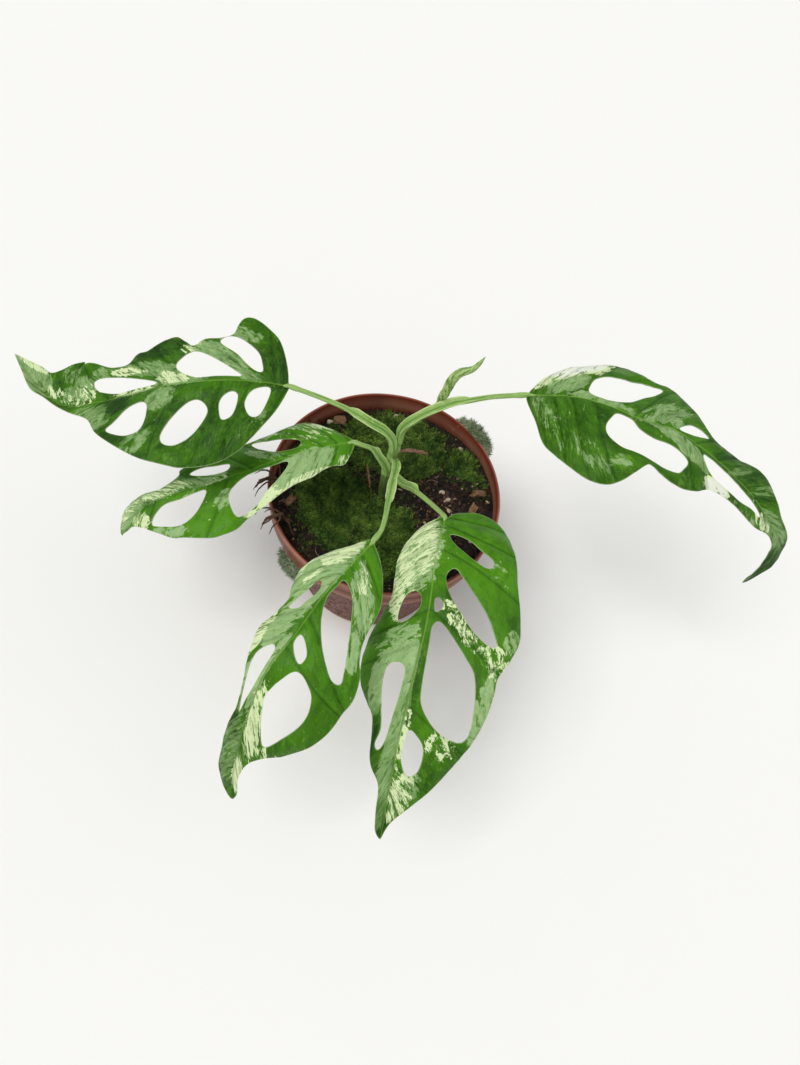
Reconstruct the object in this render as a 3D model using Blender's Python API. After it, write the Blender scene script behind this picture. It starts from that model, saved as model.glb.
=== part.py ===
"""A young variegated monstera adansonii in a round plastic nursery pot, at its real size.

The scene is in metres with +Z up. The origin is the centre of the pot's base, on the surface
that the pot stands on. The front of the plant faces -Y, and +X is to its right.
The sizes below are in millimetres and degrees, and each mesh is scaled to metres once.
"""

import math

import bmesh
import bpy
import numpy as np
from mathutils import Matrix, Vector
from mathutils.geometry import delaunay_2d_cdt

MM = 0.001
GAP = 0.3

# Pot
POT_HEIGHT = 88.0
RIM_RADIUS = 60.0
BASE_RADIUS = 42.0
WALL = 1.2
FLOOR = 1.6
COLLAR_HEIGHT = 14.5
COLLAR_STEP = 1.8
COLLAR_FLARE = 0.6
LIP_HEIGHT = 1.6
LIP_WIDTH = 2.4
LIP_ROUND = 0.5
FOOT_LIFT = 2.4
FOOT_ROUND = 0.8
CHANNEL_INNER = 25.0
CHANNEL_OUTER = 38.0
CHANNEL_DRAFT = 1.2
COLLAR_FOOT = POT_HEIGHT - COLLAR_HEIGHT
COLLAR_RADIUS = RIM_RADIUS - LIP_WIDTH / 2
DRAIN_HOLES = 8
DRAIN_RADIUS = 3.2
POT_SEGMENTS = 48

# Soil, moss and loose bits
SOIL_TOP = 76.0
SOIL_EDGE = 0.8
MOSS_THICKNESS = 4.0
TUFT_EDGE = 0.8
STEM_HOLE_RADIUS = 2.9
STEM_DEPTH = 12.0

# Stem and stalks
STEM_RADIUS = 2.2
STALK_RADIUS = 1.2
SHEATH_RADIUS = 1.9
BLADE_THICKNESS = 0.7
OUTLINE_STEP = 4.5
INNER_STEP = 8.0

STEM_PATH = [
    (-2, 4, SOIL_TOP - STEM_DEPTH), (-2, 4, 85), (-2, 3, 100), (-1, 2, 112), (0, 1, 121),
    (1, 1, 130),
]

# Each stalk's path runs from the stem to its blade. "sheath" is the share of it that the
# winged sheath takes.
STALKS = {
    "back_left": {
        "path": [
            (-0.8, -3.2, 126.5), (-0.9, -3.2, 130), (-2.8, -2.4, 135), (-7, -2.8, 140),
            (-14, -3.4, 144.5), (-23.5, -2.5, 148), (-33, -2, 150), (-51, 0, 150),
        ],
        "sheath": 0.68,
    },
    "left": {
        "path": [
            (-2.2, -2, 104), (-2, -2.2, 107), (-3.4, -1.9, 110.5), (-6.5, -1.2, 115),
            (-10.4, -0.3, 119.5), (-14, -0.8, 121), (-19, -1, 122),
        ],
        "sheath": 0.7,
    },
    "front_left": {
        "path": [
            (1.5, -2.2, 117), (2.2, -4.8, 119.5), (3, -9, 121.3), (3.5, -20.5, 125.5),
            (4.2, -31, 129), (5, -41, 132), (5, -49, 134), (3, -55.4, 135),
        ],
        "sheath": 0.62,
    },
    "front_right": {
        "path": [
            (1.1, 1.6, 98.5), (5, -2, 101), (9, -6, 104), (14, -9, 107.5), (22, -17, 114),
            (27, -23, 119), (30.5, -29, 124.6),
        ],
        "sheath": 0.45,
    },
    "right": {
        "path": [
            (1.5, 1.2, 130.8), (1.6, 2, 136), (3, 2.4, 141), (6, 2.7, 146), (10.8, 4.1, 152),
            (19, 5.6, 160), (25, 7, 163.5), (37, 11.3, 166.5), (50, 15.5, 168),
        ],
        "sheath": 0.68,
    },
}

# Each blade is a flat pattern laid on a curved sheet. "midrib" runs in space from the stalk to
# the tip. A row of "section" is the share of the midrib's length, the bank of the blade, the
# rise of its left-hand and right-hand halves, and how far those halves curl over 10 mm.
# A row of "waves" is the half (1 left, -1 right), the height, how many waves, and their phase.
# "outline" and "holes" are millimetres along the midrib, then to its left as one looks from
# the stalk to the tip.
BLADES = {
    "back_left": {
        "midrib": [
            (-52, 0, 150), (-73, -6, 153), (-97, -13, 149), (-114, -17, 141), (-138, -22, 128),
            (-153, -24, 123), (-164, -20, 126), (-180, -9, 131),
        ],
        "section": [
            (0, 0, -4, 4, -3, 2), (0.4, 0, -5, 8, -4, 7), (0.7, 0, -5, 8, -3, 3),
            (1, 0, -5, 10, 0, 0),
        ],
        "waves": [(1, 1.5, 3.1, 0.1), (-1, 2.5, 4.2, 0.3)],
        "outline": [
            (0, -2), (1, -10), (4, -20), (8, -26), (14, -32), (18, -33), (21, -31), (23, -27),
            (25, -22), (30, -20), (37, -20), (42, -18), (46, -21), (50, -24), (55, -23),
            (60, -21), (65, -19), (71, -19), (77, -16), (86, -17), (96, -20), (106, -21),
            (111, -22), (117, -24), (122, -19), (124, -12), (126, -8), (132, -6), (143, 0),
            (143, 0), (134, 2), (125, 4), (118, 2), (112, 2), (105, 4), (95, 9), (88, 18),
            (71, 30), (59, 37), (50, 41), (43, 41), (26, 36), (17, 30), (6, 15), (0, 2),
        ],
        "holes": [
            [(30, -18), (26, -21), (20, -20), (14, -15), (12, -9), (12, -5), (16, -6), (23, -13)],
            [
                (50, -9), (47, -13), (41, -15), (33, -11), (24, -5), (21, -2), (30, -2), (40, -2),
                (47, -5),
            ],
            [
                (95, -10), (91, -12), (83, -11), (73, -8), (62, -4), (60, -2), (70, -2), (80, -2),
                (91, -5),
            ],
            [(84, 16), (79, 12), (72, 7), (66, 6), (63, 10), (65, 19), (72, 21), (80, 19)],
            [(54, 25), (48, 15), (43, 10), (38, 10), (35, 16), (41, 26), (48, 31), (53, 30)],
            [(30, 12), (28, 8), (24, 6), (21, 8), (22, 14), (25, 18), (29, 19)],
            [(20, 12), (17, 6), (12, 3), (8, 3), (9, 9), (13, 17), (17, 18)],
        ],
    },
    "left": {
        "midrib": [
            (-20, -1, 122), (-40, -16, 126), (-60, -30, 122), (-78, -41, 117), (-94, -50, 113),
            (-103, -56, 109), (-109, -62, 102), (-112, -67, 94),
        ],
        "section": [(0, 0, 5, -8, -5, -8), (0.4, 0, 0, -15, -6, -8), (1, 0, 0, -10, -6, -8)],
        "waves": [(1, 1.2, 3.3, 0.2), (-1, 1.2, 2.6, 0.6)],
        "outline": [
            (0, -2), (3, -5), (8, -13), (14, -18), (21, -20), (33, -19), (45, -20), (62, -20),
            (74, -17), (83, -14), (84, -10), (88, -7), (95, -5), (103, -7), (110, -9), (117, -9),
            (122, -4), (123, 0), (123, 0), (117, 3), (112, 5), (103, 14), (95, 20), (88, 22),
            (76, 26), (70, 26), (64, 25), (58, 22), (46, 18), (36, 15), (26, 14), (20, 12),
            (15, 11), (10, 12), (6, 9), (0, 2),
        ],
        "holes": [
            [(47, -18), (39, -15), (32, -12), (25, -8), (25, -5), (29, -3), (37, -5), (45, -12)],
            [(79, -9), (75, -11), (67, -10), (60, -8), (62, -4), (72, -5)],
            [
                (34, 4), (35, 2), (43, 2), (52, 2), (58, 4), (63, 8), (64, 14), (62, 20),
                (54, 18), (47, 13), (40, 9),
            ],
            [(73, 3), (85, 4), (92, 4), (97, 6), (101, 9), (101, 12), (90, 16), (83, 15), (77, 10)],
        ],
    },
    "front_left": {
        "midrib": [
            (3, -56, 135), (-8, -85, 144), (-16, -108, 143), (-23, -124, 136), (-26, -139, 121),
            (-27, -154, 102), (-25, -165, 86),
        ],
        "section": [(0, 0, 5, -15, -5, -10), (0.4, 0, 3, -22, -6, -12), (1, 0, 0, -15, -5, -10)],
        "waves": [(1, 1.5, 2.7, 0.4), (-1, 1.2, 3.4, 0.1)],
        "outline": [
            (0, -2), (7, -6), (13, -12), (20, -17), (27, -19), (33, -18), (40, -16), (46, -13),
            (52, -14), (62, -17), (71, -14), (77, -11), (86, -8), (95, -7), (103, -8), (113, -9),
            (122, -9), (131, -9), (137, -6), (141, 0), (141, 0), (137, 2), (130, 2), (125, 3),
            (118, 6), (113, 12), (109, 18), (104, 23), (96, 29), (86, 33), (75, 34), (65, 34),
            (56, 31), (51, 27), (44, 24), (27, 21), (12, 12), (3, 3),
        ],
        "holes": [
            [(49, -10), (46, -10), (39, -8), (33, -7), (32, -5), (36, -3), (42, -4), (47, -6)],
            [
                (27, 3), (32, 2), (38, 2), (46, 5), (54, 11), (60, 18), (63, 23), (62, 26),
                (57, 24), (40, 15), (32, 10),
            ],
            [(56, 2), (60, 2), (64, 6), (65, 9), (61, 9), (57, 5)],
            [
                (69, 9), (68, 12), (70, 16), (74, 20), (82, 22), (90, 21), (98, 17), (107, 11),
                (104, 8), (87, 4), (80, 5), (74, 7),
            ],
            [
                (66, -6), (66, -3), (72, -2), (79, -2), (88, -3), (98, -5), (91, -6), (80, -8),
                (72, -9),
            ],
        ],
    },
    "front_right": {
        "midrib": [
            (31, -30, 125), (31, -58, 134), (33, -83, 135), (34, -110, 127), (35, -130, 114),
            (37, -151, 97), (39, -165, 84),
        ],
        "section": [(0, 0, 6, -15, -6, -10), (0.4, 0, 4, -25, -5, -9), (1, 0, -5, -15, -6, -8)],
        "waves": [(1, 1.6, 2.4, 0.0), (-1, 1.3, 3.2, 0.5)],
        "outline": [
            (0, 1), (-4, 4), (-8, 12), (-9, 20), (-6, 26), (1, 31), (15, 35), (25, 37), (35, 39),
            (48, 41), (57, 41), (65, 38), (73, 34), (80, 34), (93, 33), (106, 30), (117, 24),
            (128, 17), (143, 4), (153, 0), (153, 0), (149, -3), (140, -4), (129, -5), (121, -10),
            (112, -12), (102, -14), (97, -18), (90, -24), (82, -27), (72, -27), (64, -26),
            (56, -22), (45, -18), (35, -18), (25, -18), (16, -16), (7, -10), (0, -2),
        ],
        "holes": [
            [(11, 4), (10, 8), (12, 14), (17, 20), (21, 25), (25, 24), (25, 20), (20, 12), (15, 6)],
            [
                (38, 6), (33, 6), (30, 9), (34, 13), (47, 24), (55, 29), (60, 31), (61, 28),
                (58, 22), (52, 15), (45, 9),
            ],
            [(57, -13), (51, -13), (45, -11), (43, -7), (46, -4), (51, -4), (56, -8), (58, -11)],
            [(47, 2), (46, 4), (49, 6), (52, 3)],
            [
                (56, 6), (58, 3), (64, 3), (83, 4), (91, 6), (99, 13), (103, 20), (104, 26),
                (99, 28), (86, 27), (74, 24), (68, 19), (62, 13),
            ],
            [
                (76, -10), (76, -6), (80, -4), (97, -5), (109, -6), (114, -8), (112, -10),
                (105, -9), (96, -11), (87, -13), (79, -13),
            ],
            [(102, 3), (104, 7), (108, 10), (114, 11), (120, 10), (122, 7), (119, 4), (112, 2)],
        ],
    },
    "right": {
        "midrib": [
            (51, 16, 168), (73, 13, 179), (95, 9, 181), (116, 12, 175), (138, 11, 165),
            (158, 8, 154), (173, 5, 142), (187, 5, 127), (192, 3, 109), (187, -3, 94),
        ],
        "section": [
            (0, 0, -5, 0, -5, -5), (0.35, 0, -10, -5, -4, -5), (0.55, 8, -6, -8, -4, -5),
            (0.75, 42, -5, -8, -3, -4), (1, 50, -5, -5, -3, -3),
        ],
        "waves": [(1, 1.2, 2.8, 0.2), (-1, 1.6, 3.0, 0.6)],
        "outline": [
            (0, 2), (1, 5), (4, 12), (10, 19), (20, 25), (28, 30), (35, 34), (41, 36), (50, 33),
            (57, 29), (63, 26), (68, 26), (74, 23), (81, 18), (87, 12), (94, 9), (106, 10),
            (112, 12), (118, 13), (124, 12), (132, 9), (141, 6), (153, 4), (165, 3), (180, 3),
            (193, 0), (193, 0), (180, -3), (168, -3), (158, -3), (147, -4), (135, -7), (122, -9),
            (108, -11), (98, -13), (94, -15), (90, -18), (82, -21), (72, -22), (64, -21),
            (58, -19), (55, -20), (51, -25), (47, -31), (43, -35), (37, -36), (28, -33),
            (20, -29), (13, -24), (7, -14), (0, -3),
        ],
        "holes": [
            [
                (26, 4), (25, 9), (26, 15), (30, 19), (38, 22), (48, 24), (58, 23), (64, 22),
                (59, 17), (50, 12), (42, 6), (33, 3),
            ],
            [
                (46, -2), (40, -2), (38, -5), (37, -10), (39, -14), (44, -16), (50, -16),
                (58, -17), (66, -18), (74, -17), (77, -14), (78, -10), (70, -8), (57, -7),
                (50, -5),
            ],
            [(70, 2), (76, 8), (82, 10), (87, 8), (84, 6), (77, 3)],
            [
                (86, -2), (105, -2), (117, -2), (130, -2), (132, -3), (125, -4), (114, -7),
                (97, -8), (90, -6),
            ],
        ],
    },
}

NEW_LEAF_PATH = [
    (14.2, 7.7, 156.3), (14.8, 8, 160), (16, 8, 165), (17.5, 10, 171), (20, 11.5, 175.5),
    (25, 13, 179), (28, 14, 186),
]
AERIAL_ROOT_PATH = [(2, 2.3, 119.3), (7, 6, 117), (11, 9, 114), (16, 11, 111)]
DEAD_ROOTS = {
    "dead_root_back": [
        (-48, -10, 76.9), (-52.5, -12, 84), (-54.8, -13, 89), (-58.5, -14.5, 89.8),
        (-61.8, -16, 87.5), (-64, -17, 83),
    ],
    "dead_root_front": [
        (-42, -28, 76.9), (-45, -30.5, 84), (-46, -31.5, 88.9), (-49, -34, 89.8),
        (-52, -35.5, 88), (-54, -37, 84),
    ],
}

# Moss mats: outlines in plan on the soil.
MOSS_MATS = {
    "moss_front_left": [
        (-44, -8), (-38, 6), (-24, 9), (-9, 1), (-8, -12), (-9, -26), (-18, -36), (-34, -26),
    ],
    "moss_front": [
        (-7, -2), (6, -4), (15, -6), (21, -18), (18, -34), (10, -47), (-6, -50), (-14, -42),
        (-7, -26), (-6, -12),
    ],
    "moss_back": [
        (-30, 26), (-27, 42), (-12, 51), (4, 52), (18, 48), (25, 38), (22, 24), (12, 16),
        (-8, 15), (-22, 17),
    ],
    "moss_back_right": [(28, 28), (31, 40), (39, 37), (47, 27), (44, 23), (36, 24)],
    "moss_left": [(-52, 4), (-50, 18), (-38, 34), (-33, 24), (-34, 14), (-44, 8)],
}

# Loose bits on the soil: place in plan, length, width, height and turn.
BARK_CHIPS = [
    (48, 16, 7, 4, 3, 20),
    (47, 6, 6, 4, 3, 70),
    (27, 3, 8, 2.5, 2, -35),
    (-35, 40, 6, 4, 3, 10),
    (-46, -16, 6, 3.5, 2.5, 60),
]
PERLITE = [(29, 13, 3.2), (33, 9, 2.6), (39, -6, 3.0), (-40, 37, 3.4), (33, 41.5, 2.8), (-6, 53.3, 2.6)]

# Moss tufts that cling to the outside wall: azimuth, lowest and highest point, width, depth.
TUFTS = {
    "moss_tuft_outside_left": (-127, 56, 72, 20, 4.0),
    "moss_tuft_outside_back": (57, 75, 86, 20, 4.5),
}

COLOURS = {
    "pot_plastic": ((0.36, 0.13, 0.08, 1.0), 0.45),
    "potting_soil": ((0.035, 0.022, 0.016, 1.0), 0.95),
    "moss_green": ((0.045, 0.11, 0.02, 1.0), 0.95),
    "dry_moss": ((0.16, 0.22, 0.1, 1.0), 0.95),
    "stem_green": ((0.16, 0.3, 0.06, 1.0), 0.5),
    "stalk_green": ((0.2, 0.4, 0.08, 1.0), 0.45),
    "blade_green": ((0.09, 0.3, 0.03, 1.0), 0.4),
    "new_leaf_green": ((0.25, 0.42, 0.14, 1.0), 0.45),
    "root_brown": ((0.22, 0.11, 0.06, 1.0), 0.8),
    "bark_brown": ((0.25, 0.15, 0.09, 1.0), 0.85),
    "perlite_white": ((0.75, 0.7, 0.62, 1.0), 0.9),
}


def clear_scene():
    for old in list(bpy.data.objects):
        bpy.data.objects.remove(old, do_unlink=True)


def material(name):
    """The sub-part's plain finish: its colour and roughness, with nothing metallic."""
    if name in bpy.data.materials:
        return bpy.data.materials[name]
    colour, roughness = COLOURS[name]
    made = bpy.data.materials.new(name)
    made.use_nodes = True
    shader = made.node_tree.nodes["Principled BSDF"]
    shader.inputs["Base Color"].default_value = colour
    shader.inputs["Roughness"].default_value = roughness
    shader.inputs["Metallic"].default_value = 0.0
    return made


def place(name, data, finish):
    data.materials.append(material(finish))
    piece = bpy.data.objects.new(name, data)
    bpy.context.scene.collection.objects.link(piece)
    return piece


def solid_from(name, mesh_in_mm, finish, sharp_degrees=35.0):
    """Turns a bmesh that was built in millimetres into one closed, smooth-shaded object."""
    bmesh.ops.scale(mesh_in_mm, vec=(MM, MM, MM), verts=mesh_in_mm.verts)
    bmesh.ops.recalc_face_normals(mesh_in_mm, faces=mesh_in_mm.faces)
    data = bpy.data.meshes.new(name)
    mesh_in_mm.to_mesh(data)
    mesh_in_mm.free()
    data.shade_smooth()
    data.set_sharp_from_angle(angle=math.radians(sharp_degrees))
    return place(name, data, finish)


def spline(points, per_span, closed=False):
    """Points on the smooth curve through the given ones. A point given twice is a corner."""
    given = np.array(points, float)
    count = len(given)
    found = []
    for i in range(count if closed else count - 1):
        if closed:
            a, b, c, d = (given[k % count] for k in (i - 1, i, i + 1, i + 2))
        else:
            a, b, c, d = (given[min(max(k, 0), count - 1)] for k in (i - 1, i, i + 1, i + 2))
        if np.allclose(b, c):
            continue
        for u in np.arange(per_span) / per_span:
            bend = (2 * a - 5 * b + 4 * c - d) * u**2 + (3 * b - a - 3 * c + d) * u**3
            found.append(0.5 * (2 * b + (c - a) * u + bend))
    if not closed:
        found.append(given[-1])
    return np.array(found)


def even_loop(points, step):
    """A closed smooth curve through the points, with its own points about a step apart."""
    fine = spline(points, 16, closed=True)
    ends = np.vstack([fine, fine[:1]])
    reach = np.concatenate([[0.0], np.cumsum(np.linalg.norm(np.diff(ends, axis=0), axis=1))])
    count = max(8, round(reach[-1] / step))
    at = np.arange(count) * reach[-1] / count
    return np.stack([np.interp(at, reach, ends[:, 0]), np.interp(at, reach, ends[:, 1])], axis=1)


def inside(points, loop):
    """Which of the flat points lie inside a closed loop."""
    x, y = points[:, 0], points[:, 1]
    found = np.zeros(len(points), bool)
    for (ax, ay), (bx, by) in zip(loop, np.roll(loop, -1, axis=0)):
        if ay == by:
            continue
        crosses = (ay > y) != (by > y)
        found ^= crosses & (x < ax + (y - ay) * (bx - ax) / (by - ay))
    return found


def distance_to(points, loop):
    """How far each flat point is from the nearest point of a loop."""
    gaps = np.linalg.norm(points[:, None, :] - loop[None, :, :], axis=2)
    return gaps.min(axis=1)


def flat_pattern(outline, holes):
    """A triangulated flat sheet: its points, its triangles and its edge loops."""
    loops = [even_loop(outline, OUTLINE_STEP)]
    loops += [even_loop(hole, OUTLINE_STEP * 0.8) for hole in holes]
    low = loops[0].min(axis=0)
    high = loops[0].max(axis=0)
    rows = np.arange(low[1], high[1], INNER_STEP * 0.87)
    grid = [
        (x + (i % 2) * INNER_STEP / 2, y)
        for i, y in enumerate(rows)
        for x in np.arange(low[0], high[0], INNER_STEP)
    ]
    grid = np.array(grid)
    kept = inside(grid, loops[0])
    for hole in loops[1:]:
        kept &= ~inside(grid, hole)
    for loop in loops:
        kept &= distance_to(grid, loop) > INNER_STEP * 0.45
    points = np.vstack(loops + [grid[kept]])
    edges = []
    first = 0
    for loop in loops:
        count = len(loop)
        edges += [(first + i, first + (i + 1) % count) for i in range(count)]
        first += count
    found = delaunay_2d_cdt([Vector(p) for p in points], edges, [], 0, 1e-6)
    points = np.array([tuple(p) for p in found[0]])
    triangles = np.array([tuple(face) for face in found[2]])
    middles = points[triangles].mean(axis=1)
    kept = inside(middles, loops[0])
    for hole in loops[1:]:
        kept &= ~inside(middles, hole)
    return points, triangles[kept]


def unit(vectors):
    return vectors / np.linalg.norm(vectors, axis=-1, keepdims=True)


class BladeSurface:
    """The curved sheet that a blade's flat pattern is laid on."""

    def __init__(self, blade):
        line = spline(blade["midrib"], 24)
        self.line = line
        steps = np.linalg.norm(np.diff(line, axis=0), axis=1)
        self.reach = np.concatenate([[0.0], np.cumsum(steps)])
        self.length = self.reach[-1]
        self.along = unit(np.gradient(line, self.reach, axis=0))
        chord = line[-1] - line[0]
        level = np.array([-chord[1], chord[0], 0.0])
        self.across = unit(level - (self.along @ level)[:, None] * self.along)
        self.up = np.cross(self.along, self.across)
        self.stations = np.array(blade["section"], float)
        self.waves = blade["waves"]

    def section(self, s, column):
        """One column of the section table, eased from row to row."""
        rows = self.stations
        row = np.interp(np.clip(s / self.length, 0.0, 1.0), rows[:, 0], np.arange(len(rows)))
        low = np.clip(np.floor(row).astype(int), 0, len(rows) - 2)
        part = row - low
        part = part * part * (3 - 2 * part)
        return rows[low, column] * (1 - part) + rows[low + 1, column] * part

    def at(self, s, t):
        """Where the pattern's points (s, t) lie in space."""
        held = np.clip(s, 0.0, self.length)
        frame = []
        for values in (self.line, self.along, self.across, self.up):
            columns = [np.interp(held, self.reach, values[:, k]) for k in range(3)]
            frame.append(np.stack(columns, axis=-1))
        point, along, across, up = frame
        point = point + along * (s - held)[..., None]
        left = t >= 0
        bank = np.radians(self.section(s, 1))
        rise = np.radians(np.where(left, self.section(s, 2), self.section(s, 3)))
        curl = np.radians(np.where(left, self.section(s, 4), self.section(s, 5))) / 10
        curl = np.where(np.abs(curl) < 1e-6, 1e-6, curl)
        reach = np.abs(t)
        out = (np.sin(rise + curl * reach) - np.sin(rise)) / curl
        lift = (np.cos(rise) - np.cos(rise + curl * reach)) / curl
        for half, height, count, phase in self.waves:
            share = np.clip(reach / 30, 0, 1.5)
            swing = height * share**2 * np.sin(2 * np.pi * (s / self.length * count + phase))
            lift = lift + np.where(t * half >= 0, swing, 0.0)
        out = np.where(left, out, -out)
        side = np.cos(bank) * out - np.sin(bank) * lift
        top = np.sin(bank) * out + np.cos(bank) * lift
        return point + across * side[..., None] + up * top[..., None]

    def normal(self, s, t):
        step = 0.5
        ds = self.at(s + step, t) - self.at(s - step, t)
        dt = self.at(s, t + step) - self.at(s, t - step)
        return unit(np.cross(ds, dt))


def make_blade(name, blade):
    """A perforated blade: the pattern laid on its sheet, thickened on both sides."""
    points, triangles = flat_pattern(blade["outline"], blade["holes"])
    surface = BladeSurface(blade)
    middle = surface.at(points[:, 0], points[:, 1])
    offset = surface.normal(points[:, 0], points[:, 1]) * BLADE_THICKNESS / 2
    built = bmesh.new()
    top = [built.verts.new(p) for p in middle + offset]
    bottom = [built.verts.new(p) for p in middle - offset]
    uses = {}
    for a, b, c in triangles:
        built.faces.new((top[a], top[b], top[c]))
        built.faces.new((bottom[c], bottom[b], bottom[a]))
        for edge in ((a, b), (b, c), (c, a)):
            uses[edge] = uses.get(edge, 0) + 1
    for a, b in uses:
        if (b, a) not in uses:
            built.faces.new((top[b], top[a], bottom[a], bottom[b]))
    return solid_from("leaf_" + name, built, "blade_green", sharp_degrees=60.0)


def make_tube(name, path, radii, finish, sides_level=2):
    """A tapering round stalk or root along a smooth path, with closed ends."""
    points = spline(path, 3)
    shares = np.linspace(0.0, 1.0, len(points))
    given = np.array(radii, float)
    widths = np.interp(shares, given[:, 0], given[:, 1])
    data = bpy.data.curves.new(name, "CURVE")
    data.dimensions = "3D"
    data.bevel_depth = MM
    data.bevel_resolution = sides_level
    data.use_fill_caps = True
    line = data.splines.new("POLY")
    line.points.add(len(points) - 1)
    for knot, point, width in zip(line.points, points, widths):
        knot.co = (*(point * MM), 1.0)
        knot.radius = width
    return place(name, data, finish)


def turned(name, profile, finish):
    """A closed body turned about the Z axis from its half outline, which starts and ends on it."""
    built = bmesh.new()
    ring = [built.verts.new((radius, 0.0, height)) for radius, height in profile]
    edges = [built.edges.new(pair) for pair in zip(ring, ring[1:])]
    bmesh.ops.spin(
        built,
        geom=ring + edges,
        axis=(0, 0, 1),
        cent=(0, 0, 0),
        angle=2 * math.pi,
        steps=POT_SEGMENTS,
        use_merge=True,
    )
    bmesh.ops.remove_doubles(built, verts=built.verts, dist=1e-4)
    return solid_from(name, built, finish)


def cut(body, x, y, low, high, radius, label):
    """Cuts an upright round hole in a body."""
    built = bmesh.new()
    bmesh.ops.create_cone(
        built, cap_ends=True, segments=12, radius1=radius, radius2=radius, depth=high - low
    )
    bmesh.ops.translate(built, vec=(x, y, (low + high) / 2), verts=built.verts)
    cutter = solid_from(label, built, "potting_soil")
    cutter.hide_render = True
    cutter.display_type = "WIRE"
    hole = body.modifiers.new(label, "BOOLEAN")
    hole.operation = "DIFFERENCE"
    hole.solver = "EXACT"
    hole.object = cutter


def wall_radius(height):
    """The outside radius of the pot's wall or collar at a height."""
    if height >= COLLAR_FOOT:
        return COLLAR_RADIUS
    share = height / COLLAR_FOOT
    return BASE_RADIUS + (COLLAR_RADIUS - COLLAR_STEP - BASE_RADIUS) * share


def make_pot():
    """The turned pot: ringed foot, tapered wall, collar and lip, with holes in its channel."""
    outside = [
        (0, 0),
        (CHANNEL_INNER, 0),
        (CHANNEL_INNER + CHANNEL_DRAFT, FOOT_LIFT),
        (CHANNEL_OUTER - CHANNEL_DRAFT, FOOT_LIFT),
        (CHANNEL_OUTER, 0),
        (BASE_RADIUS - FOOT_ROUND, 0),
        (BASE_RADIUS, FOOT_ROUND),
        (wall_radius(COLLAR_FOOT - COLLAR_FLARE), COLLAR_FOOT - COLLAR_FLARE),
        (COLLAR_RADIUS, COLLAR_FOOT),
        (COLLAR_RADIUS, POT_HEIGHT - LIP_HEIGHT),
        (RIM_RADIUS, POT_HEIGHT - LIP_HEIGHT + LIP_ROUND),
        (RIM_RADIUS, POT_HEIGHT - LIP_ROUND),
        (RIM_RADIUS - LIP_ROUND, POT_HEIGHT),
    ]
    inside_radius = COLLAR_RADIUS - WALL
    inner = [
        (inside_radius + LIP_ROUND, POT_HEIGHT),
        (inside_radius, POT_HEIGHT - LIP_ROUND),
        (inside_radius - LIP_ROUND, COLLAR_FOOT + WALL),
        (wall_radius(COLLAR_FOOT - WALL) - WALL, COLLAR_FOOT - WALL),
        (BASE_RADIUS - WALL + FOOT_ROUND, FOOT_LIFT + FLOOR),
        (CHANNEL_INNER + CHANNEL_DRAFT, FOOT_LIFT + FLOOR),
        (CHANNEL_INNER - CHANNEL_DRAFT, FLOOR),
        (0, FLOOR),
    ]
    pot = turned("pot", outside + inner, "pot_plastic")
    hole_ring = (CHANNEL_INNER + CHANNEL_OUTER) / 2
    for i in range(DRAIN_HOLES):
        turn = 2 * math.pi * (i + 0.5) / DRAIN_HOLES
        x = hole_ring * math.cos(turn)
        y = hole_ring * math.sin(turn)
        cut(pot, x, y, -FLOOR, FOOT_LIFT + 2 * FLOOR, DRAIN_RADIUS, f"drain_cutter_{i + 1}")


def make_soil():
    """The soil: it fills the pot to a little below the rim, with the planting hole on top."""
    floor = FLOOR + GAP
    wall = WALL + GAP
    side = COLLAR_RADIUS - wall - LIP_ROUND
    profile = [
        (0, floor),
        (CHANNEL_INNER - CHANNEL_DRAFT - GAP, floor),
        (CHANNEL_INNER + CHANNEL_DRAFT - GAP, FOOT_LIFT + floor),
        (BASE_RADIUS - wall + FOOT_ROUND, FOOT_LIFT + floor),
        (wall_radius(COLLAR_FOOT - WALL) - wall, COLLAR_FOOT - WALL),
        (side, COLLAR_FOOT + WALL),
        (side, SOIL_TOP - SOIL_EDGE),
        (side - SOIL_EDGE, SOIL_TOP),
        (0, SOIL_TOP),
    ]
    soil = turned("soil", profile, "potting_soil")
    x, y, low = STEM_PATH[0]
    cut(soil, x, y, low - GAP, SOIL_TOP + GAP, STEM_HOLE_RADIUS, "planting_hole_cutter")


def make_moss_mat(name, outline):
    """A low cushion with a flat underside and a rounded edge."""
    edge = even_loop(outline, 6.0)
    middle = edge.mean(axis=0)
    built = bmesh.new()
    rings = []
    for scale, height in ((0.97, 0.0), (1.0, 0.45), (0.9, 0.9), (0.6, 1.0)):
        level = SOIL_TOP + GAP + MOSS_THICKNESS * height
        plan = middle + (edge - middle) * scale
        rings.append([built.verts.new((*point, level)) for point in plan])
    built.faces.new(rings[0][::-1])
    built.faces.new(rings[-1])
    count = len(edge)
    for lower, upper in zip(rings, rings[1:]):
        for i in range(count):
            j = (i + 1) % count
            built.faces.new((lower[i], lower[j], upper[j], upper[i]))
    solid_from(name, built, "moss_green")


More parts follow.
